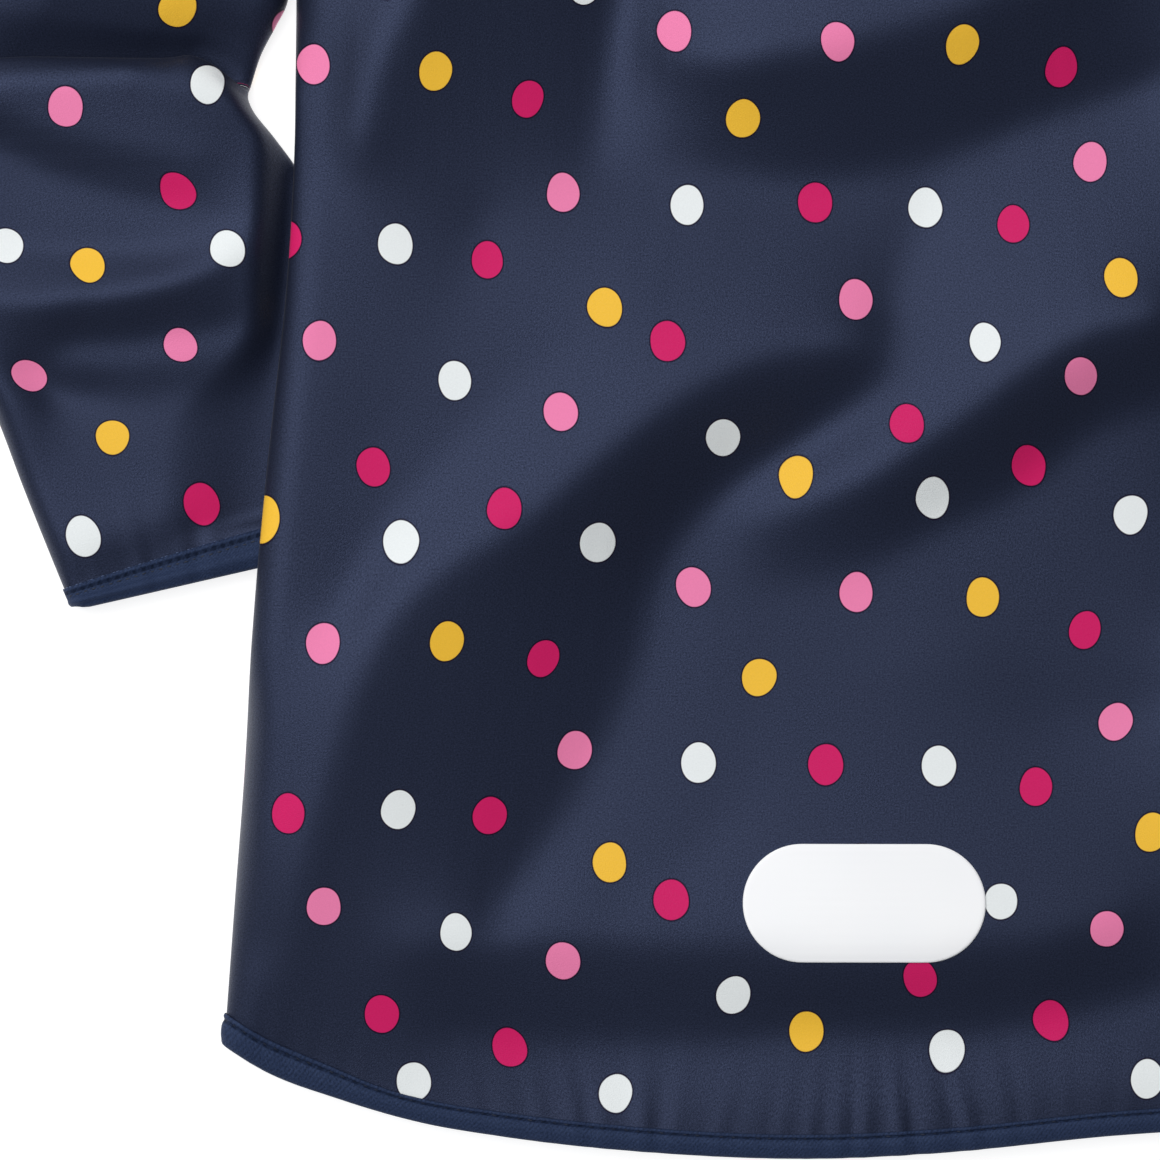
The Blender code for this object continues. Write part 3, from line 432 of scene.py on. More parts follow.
def shoulder_distance(x, y):
    """Distance to the shoulder seam."""
    (x0, y0), (x1, y1) = NECK_POINT, SHOULDER_TIP
    run = ((np.abs(x) - x0) * (x1 - x0) + (y - y0) * (y1 - y0)) / ((x1 - x0) ** 2 + (y1 - y0) ** 2)
    run = np.clip(run, 0.0, 1.0)
    return np.hypot(np.abs(x) - x0 - run * (x1 - x0), y - y0 - run * (y1 - y0))


def sleeve_lift(x, y):
    """How far the body's side is lifted by the forearm under it."""
    inward = 1 - ease((side_distance(x, y) - 24.0) / 34.0)
    along = ease((y - 138) / 34) * (1 - ease((y - 348) / 36))
    return SLEEVE_LIFT * inward * along


def seam_heights(x, y):
    """Heights of the fronts' and the back's edges; the two layers part near the armpit."""
    middle = SIDE_SEAM_HEIGHT + sleeve_lift(x, y)
    apart = 0.2 + SEAM_OPEN * ease((y - ARMPIT[1] + SEAM_OPEN_LENGTH) / SEAM_OPEN_LENGTH)
    return middle - apart, middle + apart


def puckers(along, from_edge, strength, pitch=9.5, reach=20.0):
    """Small gathers square to an elastic edge, uneven, dying out up the cloth."""
    drift = 1.7 * np.sin(along / 31.0) + 1.1 * np.sin(along / 13.7 + 1.3)
    drift = drift + from_edge / 9.0 * np.sin(along / 23.0)
    wave = np.sin(2 * math.pi * along / pitch + drift)
    wave = wave + 0.55 * np.sin(2 * math.pi * along / (pitch * 0.62) + 2.1 * drift)
    uneven = 0.6 + 0.4 * np.sin(along / 17.3 + 0.7)
    return strength * wave * uneven * np.exp(-np.maximum(from_edge, 0.0) / reach)


def back_height(x, y):
    """Outer face of the back."""
    crown = back_cloth.at(x, y)
    hem = smooth_table(BACK_HEM, x / half_width(y))
    amount = 0.2 + 0.42 * ease((x + 110) / 50) * (1 - ease((x - 40) / 60))
    crown = crown + puckers(x, y - hem - BIND_WIDTH, amount, 11.0, 11.0)
    edge = np.minimum(side_distance(x, y), shoulder_distance(x, y))
    seam = seam_heights(x, y)[1]
    return seam + (crown - seam) * quarter_round(edge / SIDE_ROLL)


def roll_distances(width, steps):
    """Distances from an edge that follow its roll evenly."""
    return [width * (1 - math.sin(math.pi / 2 * (1 - k / steps))) for k in range(steps)]


def back_face(inner_steps, rows):
    """Points of the back's outer face, rolled at the sides."""
    rolled = roll_distances(SIDE_ROLL, 7)
    columns = [(-1.0, d) for d in rolled] + [(t, None) for t in np.linspace(-1, 1, inner_steps + 1)]
    columns += [(1.0, d) for d in reversed(rolled)]
    face = np.zeros((len(rows), len(columns), 3))
    for j, v in enumerate(rows):
        half = float(half_width(SIDE_HEM_Y + v * (SHOULDER_TIP[1] - SIDE_HEM_Y)))
        x = np.array([t * (half - SIDE_ROLL) if d is None else t * (half - d) for t, d in columns])
        low, high = smooth_table(BACK_HEM, x / half) + CLOTH_INSET, linear_table(BACK_NECK, np.abs(x / half))
        y = low + v * (high - low)
        face[j] = np.column_stack([x, y, back_height(x, y)])
    return face


def normals(grid):
    """Unit normals of a grid of points, from its neighbours."""
    normal = np.cross(np.gradient(grid, axis=1), np.gradient(grid, axis=0))
    return normal / np.maximum(np.linalg.norm(normal, axis=2, keepdims=True), 1e-9)


def grid_faces(rows, columns, first, flip):
    """Faces between the neighbouring rows and columns of a grid of points."""
    faces = []
    for j in range(rows - 1):
        for i in range(columns - 1):
            a = first + j * columns + i
            face = (a, a + 1, a + 1 + columns, a + columns)
            faces.append(face[::-1] if flip else face)
    return faces


def sewn_piece(name, points, faces, looks):
    """A mesh piece from points in mm, which rides on the jacket."""
    mesh = bpy.data.meshes.new(name)
    origin = np.array([0, JACKET_MIDDLE * MM, 0])
    mesh.from_pydata((np.array(points) * MM - origin).tolist(), [], faces)
    for look in looks:
        mesh.materials.append(look)
    mesh.shade_smooth()
    made = bpy.data.objects.new(name, mesh)
    bpy.context.scene.collection.objects.link(made)
    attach(made, "jacket")
    return made


# the baked map: where the outer face, the raw edges and the inner face lie across it
MAP_OUTER = (0.004, 0.69)
MAP_EDGES = (0.697, 0.008)
MAP_INNER = (0.71, 0.28)


def cloth(name, face, cloth_mm, looks, thick=CLOTH_THICK):
    """A thin shell of cloth: the grid of its outer face, an inner face and the raw edges between.
    cloth_mm is each point's place on the flat cloth. The baked map has both faces side by side."""
    rows, columns = face.shape[:2]
    count = rows * columns
    faces = grid_faces(rows, columns, 0, False)
    outer_faces = len(faces)
    faces += grid_faces(rows, columns, count, True)
    sides = len(faces)
    rims = [[j * columns + i for i in range(columns)] for j in (0, rows - 1)]
    rims += [[j * columns + i for j in range(rows)] for i in (0, columns - 1)]
    for k, rim in enumerate(rims):
        for a, b in zip(rim, rim[1:]):
            quad = (a, b, b + count, a + count)
            faces.append(quad[::-1] if k in (0, 3) else quad)
    inner = face - normals(face) * thick
    made = sewn_piece(name, np.concatenate([face.reshape(-1, 3), inner.reshape(-1, 3)]), faces, looks)
    mesh = made.data
    material_of = np.ones(len(faces), np.int32) * (len(looks) - 1)
    material_of[:outer_faces] = 0
    mesh.polygons.foreach_set("material_index", material_of)
    place = mesh.attributes.new("print_mm", "FLOAT_VECTOR", "POINT")
    flat = np.concatenate([cloth_mm.reshape(-1, 2)] * 2)
    place.data.foreach_set("vector", np.column_stack([flat, np.zeros(len(flat))]).astype(np.float32).ravel())
    corners = np.empty(len(mesh.loops), np.int32)
    mesh.loops.foreach_get("vertex_index", corners)
    at = corners % count
    u, v = (at % columns) / (columns - 1), (at // columns) / (rows - 1)
    u = np.where(corners < count, MAP_OUTER[0] + u * MAP_OUTER[1], MAP_INNER[0] + u * MAP_INNER[1])
    on_edge = np.repeat(np.arange(len(faces)) >= sides, 4)
    u = np.where(on_edge, MAP_EDGES[0] + MAP_EDGES[1] * (corners >= count), u)
    bake = mesh.uv_layers.new(name="OFBake")
    bake.data.foreach_set("uv", np.column_stack([u, 0.004 + v * 0.992]).astype(np.float32).ravel())
    mesh.validate()
    return made


def hem_rows(count):
    """Shares of the way up the body, closer at the gathered hem."""
    return np.concatenate([np.linspace(0.0, 0.09, 26), np.linspace(0.09, 1.0, count)[1:]])


# (x, y, print's shift across and up), in mm: where the folds have drawn the cloth along
BACK_DRIFT = (
    (-9, 368, 3, 6.5), (32, 368, 2.5, 4.5), (65, 361, -1.5, 2), (75, 329, 1, 2.5), (20, 315, 0, 0),
    (49, 309, 1.5, 0.5), (-3, 284, -2, -1.5), (84, 291, 6, 3.5), (39, 270, 0, 0), (71, 258, 4.5, 1),
    (14, 243, -1, -1.5), (54, 230, 2.5, -2.5), (23, 219, -0.5, -2.5), (-56, 189, -2.5, -1),
    (-3, 187, 0, 2.5), (88, 213, -1.5, 4), (39, 185, -1.5, 1.5), (73, 175, -5.5, 4), (-179, 170, 0.5, 7),
    (-138, 170, 0.5, 4), (-106, 165, -1.5, 0.5), (-35, 159, -1.5, 0.5), (-96, 136, 0, 0), (-55, 130, 0, 0),
    (-13, 130, 0.5, 1.5), (25, 129, 0, 0), (57, 123, -2.5, 2.5), (-190, 114, 2.5, 5.5), (-154, 115, 3, 2.5),
    (-124, 114, 3.5, -1.5), (-84, 98, 2.5, -1), (-64, 85, 3, 0.5), (-179, 83, 2.5, 2),
    (-135, 75, 4, -2.5), (-100, 66, 3.5, -3.5), (18, 60, -1.5, -3), (-44, 54, 0, 0), (-160, 48, 2, -3.5),
    (61, 47, -1.5, -3), (-19, 43, -0.5, -1.5), (-118, 38, 3.5, -6.5), (28, 38, -1.5, -5),
    (-148, 27, -0.75, -6.4), (93, 26, -3, 6.5), (-82, 23, -3, -2.5), (-88, 204, 0, 0), (-85, 281, 0, 0),
    (-65, 270, 0, 0), (-100, 247, 0, 0), (-152, 204, 0, 0), (-154, 302, 0, 0), (-141, 359, 0, 0),
    (-111, 350, 0, 0), (-40, 344, 0, 0), (-99, 319, 0, 0), (-58, 315, 0, 0), (-16, 316, 0, 0),
    (-182, 361, 0, 0), (-124, 297, 0, 0), (-180, 270, 0, 0), (-135, 257, 0, 0), (-162, 229, 0, 0),
    (-119, 215, 0, 0), (-1, 2, 3, 10), (-53, 6, 0, 6),
    (-187, 27, 0, 5), (40.5, 71, -1.3, 0), (37, 1, 0, 6),
)


def drift(x, y, table):
    """The print's shift at each point: the mean of the table's rows, nearer ones counting more."""
    reach = 22.0
    total = np.full(np.shape(x), 0.03)
    shift = np.zeros(np.shape(x) + (2,))
    for x0, y0, across, up in table:
        weight = np.exp(-((x - x0) ** 2 + (y - y0) ** 2) / reach ** 2)
        total = total + weight
        shift = shift + weight[..., None] * np.array([across, up])
    return shift / total[..., None]


back_points = back_face(BACK_STEPS, hem_rows(165))
on_cloth = back_points[..., :2] + drift(back_points[..., 0], back_points[..., 1], BACK_DRIFT)
back = cloth("back_cloth", back_points, on_cloth, (softshell, fleece))
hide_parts("back_panel")


# Fronts. Two panels of the same softshell, one each side of the zip. The jacket lies on them, so
# they are pressed flat, with a few shallow troughs where the cloth has slack.
ZIP_EDGE = 3.5
ZIP_LIFT = 4.2
FRONT_STEPS = 64
FRONT_HEM = ((0, 19.0), (0.5, 21.0), (0.8, 27.5), (0.94, 33.0), (1, 38.0))
FRONT_NECK = ((0, 512.0), (0.1, 513.5), (0.2, 519.0), (0.3, 531.0), (0.38, 550.0), (0.42, 575.0), (1, 555.0))
# (x, y) where each trough starts and ends, its height and its width; x runs from the zip
FRONT_TROUGHS = (
    (60, 470, 128, 330, 2.4, 11), (75, 300, 150, 236, 2.0, 9), (58, 210, 120, 118, 2.6, 12),
    (130, 95, 66, 60, 1.8, 8), (95, 420, 60, 380, 1.6, 8), (150, 180, 186, 96, 1.8, 10),
)
FRONT_PRINT_SHIFT = {"left": (41.0, 63.0), "right": (12.0, 63.0)}


def troughs(x, y, lines):
    """Soft folds that stand up along straight lines and run out at both ends."""
    height = np.zeros_like(x)
    for x0, y0, x1, y1, tall, wide in lines:
        length = math.hypot(x1 - x0, y1 - y0)
        run = ((x - x0) * (x1 - x0) + (y - y0) * (y1 - y0)) / length
        across = ((x - x0) * (y1 - y0) - (y - y0) * (x1 - x0)) / length + 5 * np.sin(run / 19.0)
        fade = ease(run / (0.4 * length)) * ease((length - run) / (0.4 * length))
        height = height + tall * fade * np.exp(-((across / wide) ** 2))
    return height


def front_height(x, y, hem):
    """Outer face of a front, which lies below: its own weight presses it flat."""
    beside_zip = ZIP_LIFT * (1 - ease((np.abs(x) - 16.0) / 34.0))
    on_binding = HEM_STAND * (1 - ease((y - hem - BIND_WIDTH - 2) / 20))
    rest = np.maximum(np.maximum(beside_zip, on_binding), sleeve_lift(x, y))
    rest = rest + troughs(x, y, FRONT_TROUGHS) * ease((y - hem - 12) / 14)
    rest = rest + np.abs(puckers(x, y - hem - BIND_WIDTH, 0.3))
    edge = np.minimum(side_distance(x, y), shoulder_distance(x, y))
    seam = np.maximum(seam_heights(x, y)[0], rest + 0.4)
    return rest + (seam - rest) * (1 - quarter_round(edge / FRONT_ROLL))


def front_face(inner_steps, rows):
    """Points of one front's outer face, from its zip edge to the side."""
    columns = [(t, None) for t in np.linspace(0, 1, inner_steps + 1)]
    columns += [(1.0, d) for d in reversed(roll_distances(FRONT_ROLL, 5))]
    face = np.zeros((len(rows), len(columns), 3))
    for j, v in enumerate(rows):
        half = float(half_width(SIDE_HEM_Y + v * (SHOULDER_TIP[1] - SIDE_HEM_Y)))
        flat = half - FRONT_ROLL - ZIP_EDGE
        x = np.array([ZIP_EDGE + t * flat if d is None else half - d for t, d in columns])
        share = (x - ZIP_EDGE) / (half - ZIP_EDGE)
        low = smooth_table(FRONT_HEM, share) + CLOTH_INSET
        y = low + v * (linear_table(FRONT_NECK, share) - low)
        face[j] = np.column_stack([x, y, front_height(x, y, low)])
    return face


def mirrored(grid):
    """The same points on the garment's other side."""
    return grid * np.array([-1.0, 1.0, 1.0])


front_points = front_face(FRONT_STEPS, hem_rows(120))
for side, face in (("right", front_points[:, ::-1]), ("left", mirrored(front_points))):
    across, up = FRONT_PRINT_SHIFT[side]
    on_cloth = np.dstack([across - face[..., 0], face[..., 1] + up])
    front = cloth("front_%s_cloth" % side, face, on_cloth, (softshell, fleece))
    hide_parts("front_" + side)


# Sleeves. Each is one piece of softshell, closed along its inner edge and set in the armhole. The
# arm is bent: the forearm folds over the upper arm at the elbow and runs under the body's side.
SLEEVE_SECTIONS = (
    # in_x, in_y, out_x, out_y, heights near the inner edge, at 1/3, 2/3 and near the outer edge,
    # share of the elbow fold's outline
    (187.4, 402.0, 160.0, 555.0, (14, 14, 14, 14), 0.0),
    (189.4, 396.0, 205.0, 511.0, (14, 17, 16, 13), 0.0),
    (190.5, 383.0, 246.0, 462.0, (14, 19, 20, 14), 0.0),
    (194.5, 374.5, 281.0, 417.0, (12, 18, 22, 15), 0.05),
    (199.5, 365.0, 306.0, 382.0, (8, 12, 14, 12), 0.4),
    (202.8, 355.0, 317.5, 363.0, (5, 4.6, 5, 8), 1.0),
    (203.6, 352.3, 318.6, 358.5, (11, 14, 13, 12), 1.0),
    (203.4, 349.6, 319.6, 354.0, (14, 19, 17, 13), 0.9),
    (201.0, 345.0, 321.0, 347.0, (15, 20, 18, 13), 0.5),
    (194.5, 337.0, 322.0, 337.0, (14, 16, 14, 12), 0.1),
    (186.0, 325.0, 321.0, 322.0, (13, 13, 12, 11), 0.0),
    (177.5, 308.0, 314.5, 304.0, (13, 14, 13, 11), 0.0),
    (174.0, 290.0, 306.5, 287.0, (13, 16, 16, 12), 0.0),
    (173.6, 270.0, 297.5, 268.0, (10, 11, 13, 12), 0.0),
    (175.0, 247.0, 287.0, 245.0, (9, 12, 11, 10), 0.0),
    (177.2, 224.0, 277.5, 220.0, (8, 11, 12, 9), 0.0),
    (178.5, 211.0, 264.9, 188.8, (8.4, 9, 10, 9.6), 0.0),
    (180.2, 200.0, 261.8, 182.0, (8.4, 9, 10, 9.6), 0.0),
)
# (part of the way from the inner to the outer edge, rise in y)
ELBOW_EDGE = (
    (0, 0.0), (0.03, 2.6), (0.05, 4.4), (0.092, 8.1), (0.14, 10.6), (0.17, 11.2), (0.21, 10.2), (0.3, 9.3),
    (0.45, 8.6), (0.7, 7.0), (1, 0.0),
)
FOREARM_CREASES = {
    "lip crest": ((-318, 356, 16), (-305, 357, 19), (-285, 357, 20), (-265, 356, 20.5), (-246, 356, 20.5),
                  (-229, 355, 20), (-217, 351, 18.5), (-209, 345, 17)),
    "brow": ((-312, 352, 17), (-285, 347, 18), (-265, 339, 18), (-252, 336, 18), (-236, 333, 18),
             (-219, 330, 17.5)),
    "upper crease": ((-318, 341, 13), (-302, 338, 12), (-285, 333, 11.5), (-272, 326, 11.5), (-252, 320, 12),
                     (-236, 316, 12.5), (-219, 313, 13.6), (-209, 310, 14.3)),
    "shelf": ((-315, 308, 13), (-285, 303, 11.5), (-265, 300, 11.8), (-246, 300, 12.2), (-226, 302, 13.5),
              (-214, 306, 14.5)),
    "middle crest": ((-318, 283, 15), (-302, 283, 17), (-285, 283, 19), (-265, 283, 20), (-252, 284, 20),
                     (-236, 287, 20), (-219, 292, 19), (-207, 299, 17.5), (-200, 307, 16.5),
                     (-198, 318, 15.5), (-198, 330, 15), (-200, 342, 15)),
    "shallow crease": ((-265, 269, 12), (-252, 270, 12), (-236, 271, 12), (-219, 273, 11.8), (-208, 276, 11)),
    "small ridge": ((-262, 263, 12), (-252, 262, 12.4), (-236, 263, 12.4), (-219, 265, 12.4),
                    (-206, 266, 11.5), (-197, 266, 10)),
    "lower crease": ((-267, 251, 7.5), (-252, 251, 8.5), (-236, 251, 9.5), (-219, 252, 9.8), (-206, 252, 9)),
    "outer crest": ((-296, 268, 15), (-288, 262, 15), (-282, 256, 14.5), (-277, 248, 13.5), (-272, 238, 12)),
    "short crease": ((-279, 262, 11), (-273, 257, 9), (-267, 251, 7)),
    "rise to the cuff": ((-280, 224, 11.5), (-265, 222, 11.5), (-246, 225, 10.6), (-232, 226, 10.2),
                         (-216, 228, 9.9), (-203, 229, 9)),
    "above the cuff": ((-276, 204, 12), (-262, 202, 12.5), (-246, 206, 12.2), (-232, 211, 11.6),
                       (-216, 216, 10.6), (-204, 220, 9)),
    "cuff": ((-264, 188, 9.5), (-249, 192, 9.5), (-232, 198, 9.5), (-216, 203, 9.5), (-203, 207, 9)),
}
forearm_cloth = Stretched(FOREARM_CREASES, (-330.0, 180.0), (-165.0, 372.0), step=2.0, rounds=900, soften=4)
SLEEVE_STEPS = 44
SLEEVE_ROLL = 8.0
LAST_SECTION = 9.7          # from the last section but one to the cuff's edge, in mm
UNDER_BODY_HEIGHT = 4.4
CUFF_EXTRA = 3.7
# the print's place: a point on the sleeve, the same point on the repeat, and the turn between them
FOREARM_PRINT = ((-256.1, 295.7), (-23.1, 225.1), 17.5)
UPPER_ARM_PRINT = ((-226.4, 379.8), (-85.5, 280.8), 105.0)
RIGHT_FOREARM_SHIFT = 37.0      # the right sleeve was cut from another place of the cloth
RIGHT_UPPER_ARM_SHIFT = 29.0
# where the folds have drawn the forearm's print along, as for the back
FOREARM_DRIFT = (
    (-265, 347, 0, 0), (-217, 354, -0.5, 1.5), (-228, 320, 0, 0), (-210, 301, -0.5, -1.5), (-256, 296, 0, 0),
    (-226, 268, 0, 2), (-275, 260, -3.5, -5), (-248, 239, 0, 0), (-219, 216, 1.5, 3.5), (-259, 206, 0, 0),
    (-282, 302, 1, -3),
)
# (y, cloth taken up by the folds above it)
TAKE_UP = ((200, 9.2), (238, 9.2), (268, 2.6), (284, 0.0), (400, 0.0))


def cuff_distance(x, y):
    """Distance from the cuff's edge along the sleeve."""
    in_x, in_y, out_x, out_y = SLEEVE_SECTIONS[-1][:4]
    length = math.hypot(out_x - in_x, out_y - in_y)
    return (y - in_y) * (out_x - in_x) / length - (x - in_x) * (out_y - in_y) / length


def print_place(x, y, chart):
    """The place on the repeat of a point on the sleeve."""
    (x0, y0), (u0, v0), turn = chart
    c, s = math.cos(math.radians(turn)), math.sin(math.radians(turn))
    return np.stack([u0 + c * (x - x0) + s * (y - y0), v0 - s * (x - x0) + c * (y - y0)], axis=-1)


def across_edge(x, y):
    """The place of a point of the upper arm's lower layer, opened out at the arm's outer edge."""
    (x0, y0), (x1, y1) = SLEEVE_SECTIONS[0][2:4], SLEEVE_SECTIONS[5][2:4]
    length = math.hypot(x1 - x0, y1 - y0)
    tx, ty = (x1 - x0) / length, (y1 - y0) / length
    along = (x - x0) * tx + (y - y0) * ty
    return 2 * (x0 + along * tx) - x, 2 * (y0 + along * ty) - y


def sleeve_row(k, f, lower, side):
    """Points across one section of a sleeve, and their place on the cloth. k is the section."""
    known = np.arange(len(SLEEVE_SECTIONS))
    columns = zip(*[(s[0], s[1], s[2], s[3], *s[4], s[5]) for s in SLEEVE_SECTIONS])
    blend = [float(smooth_table(np.column_stack([known, c]), k)) for c in columns]
    in_x, in_y, out_x, out_y, *heights, fold = blend
    x = in_x + (out_x - in_x) * f
    y = in_y + (out_y - in_y) * f + np.clip(fold, 0, 1) * smooth_table(ELBOW_EDGE, f)
    if k < 3:
        edge_y = ARMPIT[1] + (SHOULDER_TIP[1] - ARMPIT[1]) * f
        bow = half_width(edge_y) - (ARMPIT[0] + (SHOULDER_TIP[0] - ARMPIT[0]) * f)
        low_part = 1 - ease((f - 0.15) / 0.3)
        x = x + bow * (1 - ease(k / 3)) * (1 - min(k, 1.0) * low_part)
    length = math.hypot(out_x - in_x, out_y - in_y)
    crown = np.interp(f, (0.05, 0.33, 0.67, 0.95), heights)
    forearm = float(ease((k - 6.6) / 1.6))
    if forearm > 0:
        place = (-x, y) if side < 0 else (-x * 0.97 - 8, y - 9)
        crown = crown * (1 - forearm) + forearm_cloth.at(*place) * forearm
    at_cuff = ease((18 - cuff_distance(x, y)) / 7)
    if k > 8:
        under = UNDER_BODY_HEIGHT + CUFF_EXTRA * at_cuff
        clear = ease((np.abs(x) - half_width(y) - 1.0) / (34.0 - 22.0 * ease((y - 240) / 35)))
        crown = np.minimum(crown, under + (crown - under) * clear)
    tuck = 10.0 * math.exp(-(((k - 5.25) / (0.65 if k < 5.25 else 0.35)) ** 2))
    y = y - tuck * ease(f / 0.12) * ease((1 - f) / 0.12) * (0 if lower else 1)
    stand = HEM_STAND * ease((26.0 - cuff_distance(x, y)) / 14)
    thin = np.clip((crown - UNDER_BODY_HEIGHT) / 6, 0.0, 1.0)
    seam = 2.3 + 2.3 * thin
    width = 3.6 + (min(SLEEVE_ROLL, length / 4) - 3.6) * thin
    edge = np.minimum(f, 1 - f) * length
    if lower:
        width = np.minimum(width, FRONT_ROLL)
        width = width + (seam - stand - width) * at_cuff
        z = stand + (seam - stand) * (1 - quarter_round(edge / width))
    else:
        width = width + (crown - seam - width) * at_cuff
        z = seam + (crown - seam) * quarter_round(edge / width)
        gathers = puckers(x, cuff_distance(x, y) - BIND_WIDTH, 0.32, 15.0, 9.0)
        z = z + gathers * ease(edge / 9) * (1 if k > 10 else 0)
    flat_x = 2 * out_x - x if lower else x
    drop = y - smooth_table(TAKE_UP, y)
    above = ease((y - 318) / 28)
    slid_x = flat_x - above * 7.6
    drop = drop + above * (0.171 * (x - 216.8) - 0.6)
    slip = drift(-flat_x, y, FOREARM_DRIFT)
    slid_x, drop = slid_x - slip[..., 0], drop + slip[..., 1]
    forearm_place = print_place(-slid_x + (0 if side < 0 else RIGHT_FOREARM_SHIFT), drop, FOREARM_PRINT)
    arm_x, arm_y = across_edge(x, y) if lower else (x, y)
    upper_place = print_place(-arm_x + (0 if side < 0 else RIGHT_UPPER_ARM_SHIFT), arm_y, UPPER_ARM_PRINT)
    share = float(ease((k - 5.0) / 0.3))
    return np.column_stack([x, y, z]), upper_place * (1 - share) + forearm_place * share


def sleeve_face(sections, side):
    """A sleeve's outer face: across the upper layer, round the outer edge and back below."""
    ends = [0.085 * (1 - math.cos(math.pi / 2 * k / 6)) for k in range(6)]
    f = np.array(ends + list(np.linspace(0.085, 0.915, SLEEVE_STEPS)) + [1 - e for e in reversed(ends)])
    face, on_cloth = [], []
    for k in sections:
        upper, upper_place = sleeve_row(k, f, False, side)
        lower, lower_place = sleeve_row(k, f[::-1][1:-1], True, side)
        last = upper[:1] * 0.5 + lower[-1:] * 0.5 + np.array([[0.0, 0.0, -0.25]])
        face.append(np.concatenate([upper, lower, last]))
        on_cloth.append(np.concatenate([upper_place, lower_place, lower_place[-1:]]))
    return np.array(face), np.array(on_cloth)


CUFF_SECTION = 17 - CLOTH_INSET / LAST_SECTION      # where the raw edge lies inside the binding
sleeve_sections = np.concatenate([
    np.linspace(0, 4, 34)[:-1], np.linspace(4, 8, 46)[:-1], np.linspace(8, CUFF_SECTION, 84),
])
for side, sign in (("left", -1), ("right", 1)):
    face, on_cloth = sleeve_face(sleeve_sections, sign)
    face[0, :, 0] += 0.8
    if sign > 0:
        face, on_cloth = face[:, ::-1], on_cloth[:, ::-1]
    else:
        face = mirrored(face)
    sleeve = cloth("sleeve_%s_cloth" % side, face, on_cloth, (softshell, fleece))
    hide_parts("sleeve_" + side)


# Stand collar. One layer of softshell sewn round the neck, closed to the top of the zip and
# pressed flat, with a little slack at each fold.
COLLAR_TOP_FRONT = ((0, 558.0), (0.3, 565.0), (0.6, 584.0), (0.85, 605.0), (1, 614.0))
COLLAR_TOP_BACK = ((0, 612.0), (0.5, 613.0), (1, 614.0))
COLLAR_TOP_HALF = 62.0
COLLAR_PRINT_SHIFT = (50.0, -122.0)


def collar_face(rows):
    """The collar's outer face, from one zip edge round the neck to the other."""
    neck = NECK_POINT[0]
    front = list(np.linspace(ZIP_EDGE, neck - FRONT_ROLL, 22))
    roll = [neck - d for d in reversed(roll_distances(FRONT_ROLL, 6))]
    top = [neck - d for d in roll_distances(SIDE_ROLL, 7)][1:]
    back_x = list(np.linspace(neck - SIDE_ROLL, 0, 22))
    half = [(x, True) for x in front + roll] + [(x, False) for x in top + back_x]
    ring = [(x, 1.0, low) for x, low in half] + [(x, -1.0, low) for x, low in reversed(half[:-1])]
    face, on_cloth = np.zeros((len(rows), len(ring), 3)), np.zeros((len(rows), len(ring), 2))
    for i, (x, side, is_front) in enumerate(ring):
        share = x / neck
        if is_front:
            low, high = linear_table(FRONT_NECK, share * 0.42), smooth_table(COLLAR_TOP_FRONT, share)
            rest = ZIP_LIFT * (1 - ease((x - 16.0) / 34.0))
            z = rest + (SIDE_SEAM_HEIGHT - rest) * (1 - quarter_round((neck - x) / FRONT_ROLL))
        else:
            low, high = linear_table(BACK_NECK, share * 0.42), smooth_table(COLLAR_TOP_BACK, share)
            z = SIDE_SEAM_HEIGHT + (12.0 - SIDE_SEAM_HEIGHT) * quarter_round((neck - x) / SIDE_ROLL)
        for j, v in enumerate(rows):
            half_now = neck + v * (COLLAR_TOP_HALF - neck)
            narrow = ZIP_EDGE + (x - ZIP_EDGE) * (half_now - ZIP_EDGE) / (neck - ZIP_EDGE)
            place = narrow if is_front else x * half_now / neck
            slack = 1.1 * math.sin(place / 11.0 * side + v * 2.2) * math.sin(math.pi * v) * (1 - share)
            y = float(low) + 0.4 + v * (float(high) - float(low) - 0.4)
            face[j, i] = (side * place, y, float(z) + (0.0 if is_front else slack))
            unrolled = 2 * neck - place if is_front else place
            on_cloth[j, i] = (side * unrolled + COLLAR_PRINT_SHIFT[0], y + COLLAR_PRINT_SHIFT[1])
    return face, on_cloth


face, on_cloth = collar_face(np.linspace(0, 1, 26))
collar = cloth("collar_cloth", face[:, ::-1], on_cloth[:, ::-1], (softshell, fleece))
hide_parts("collar")


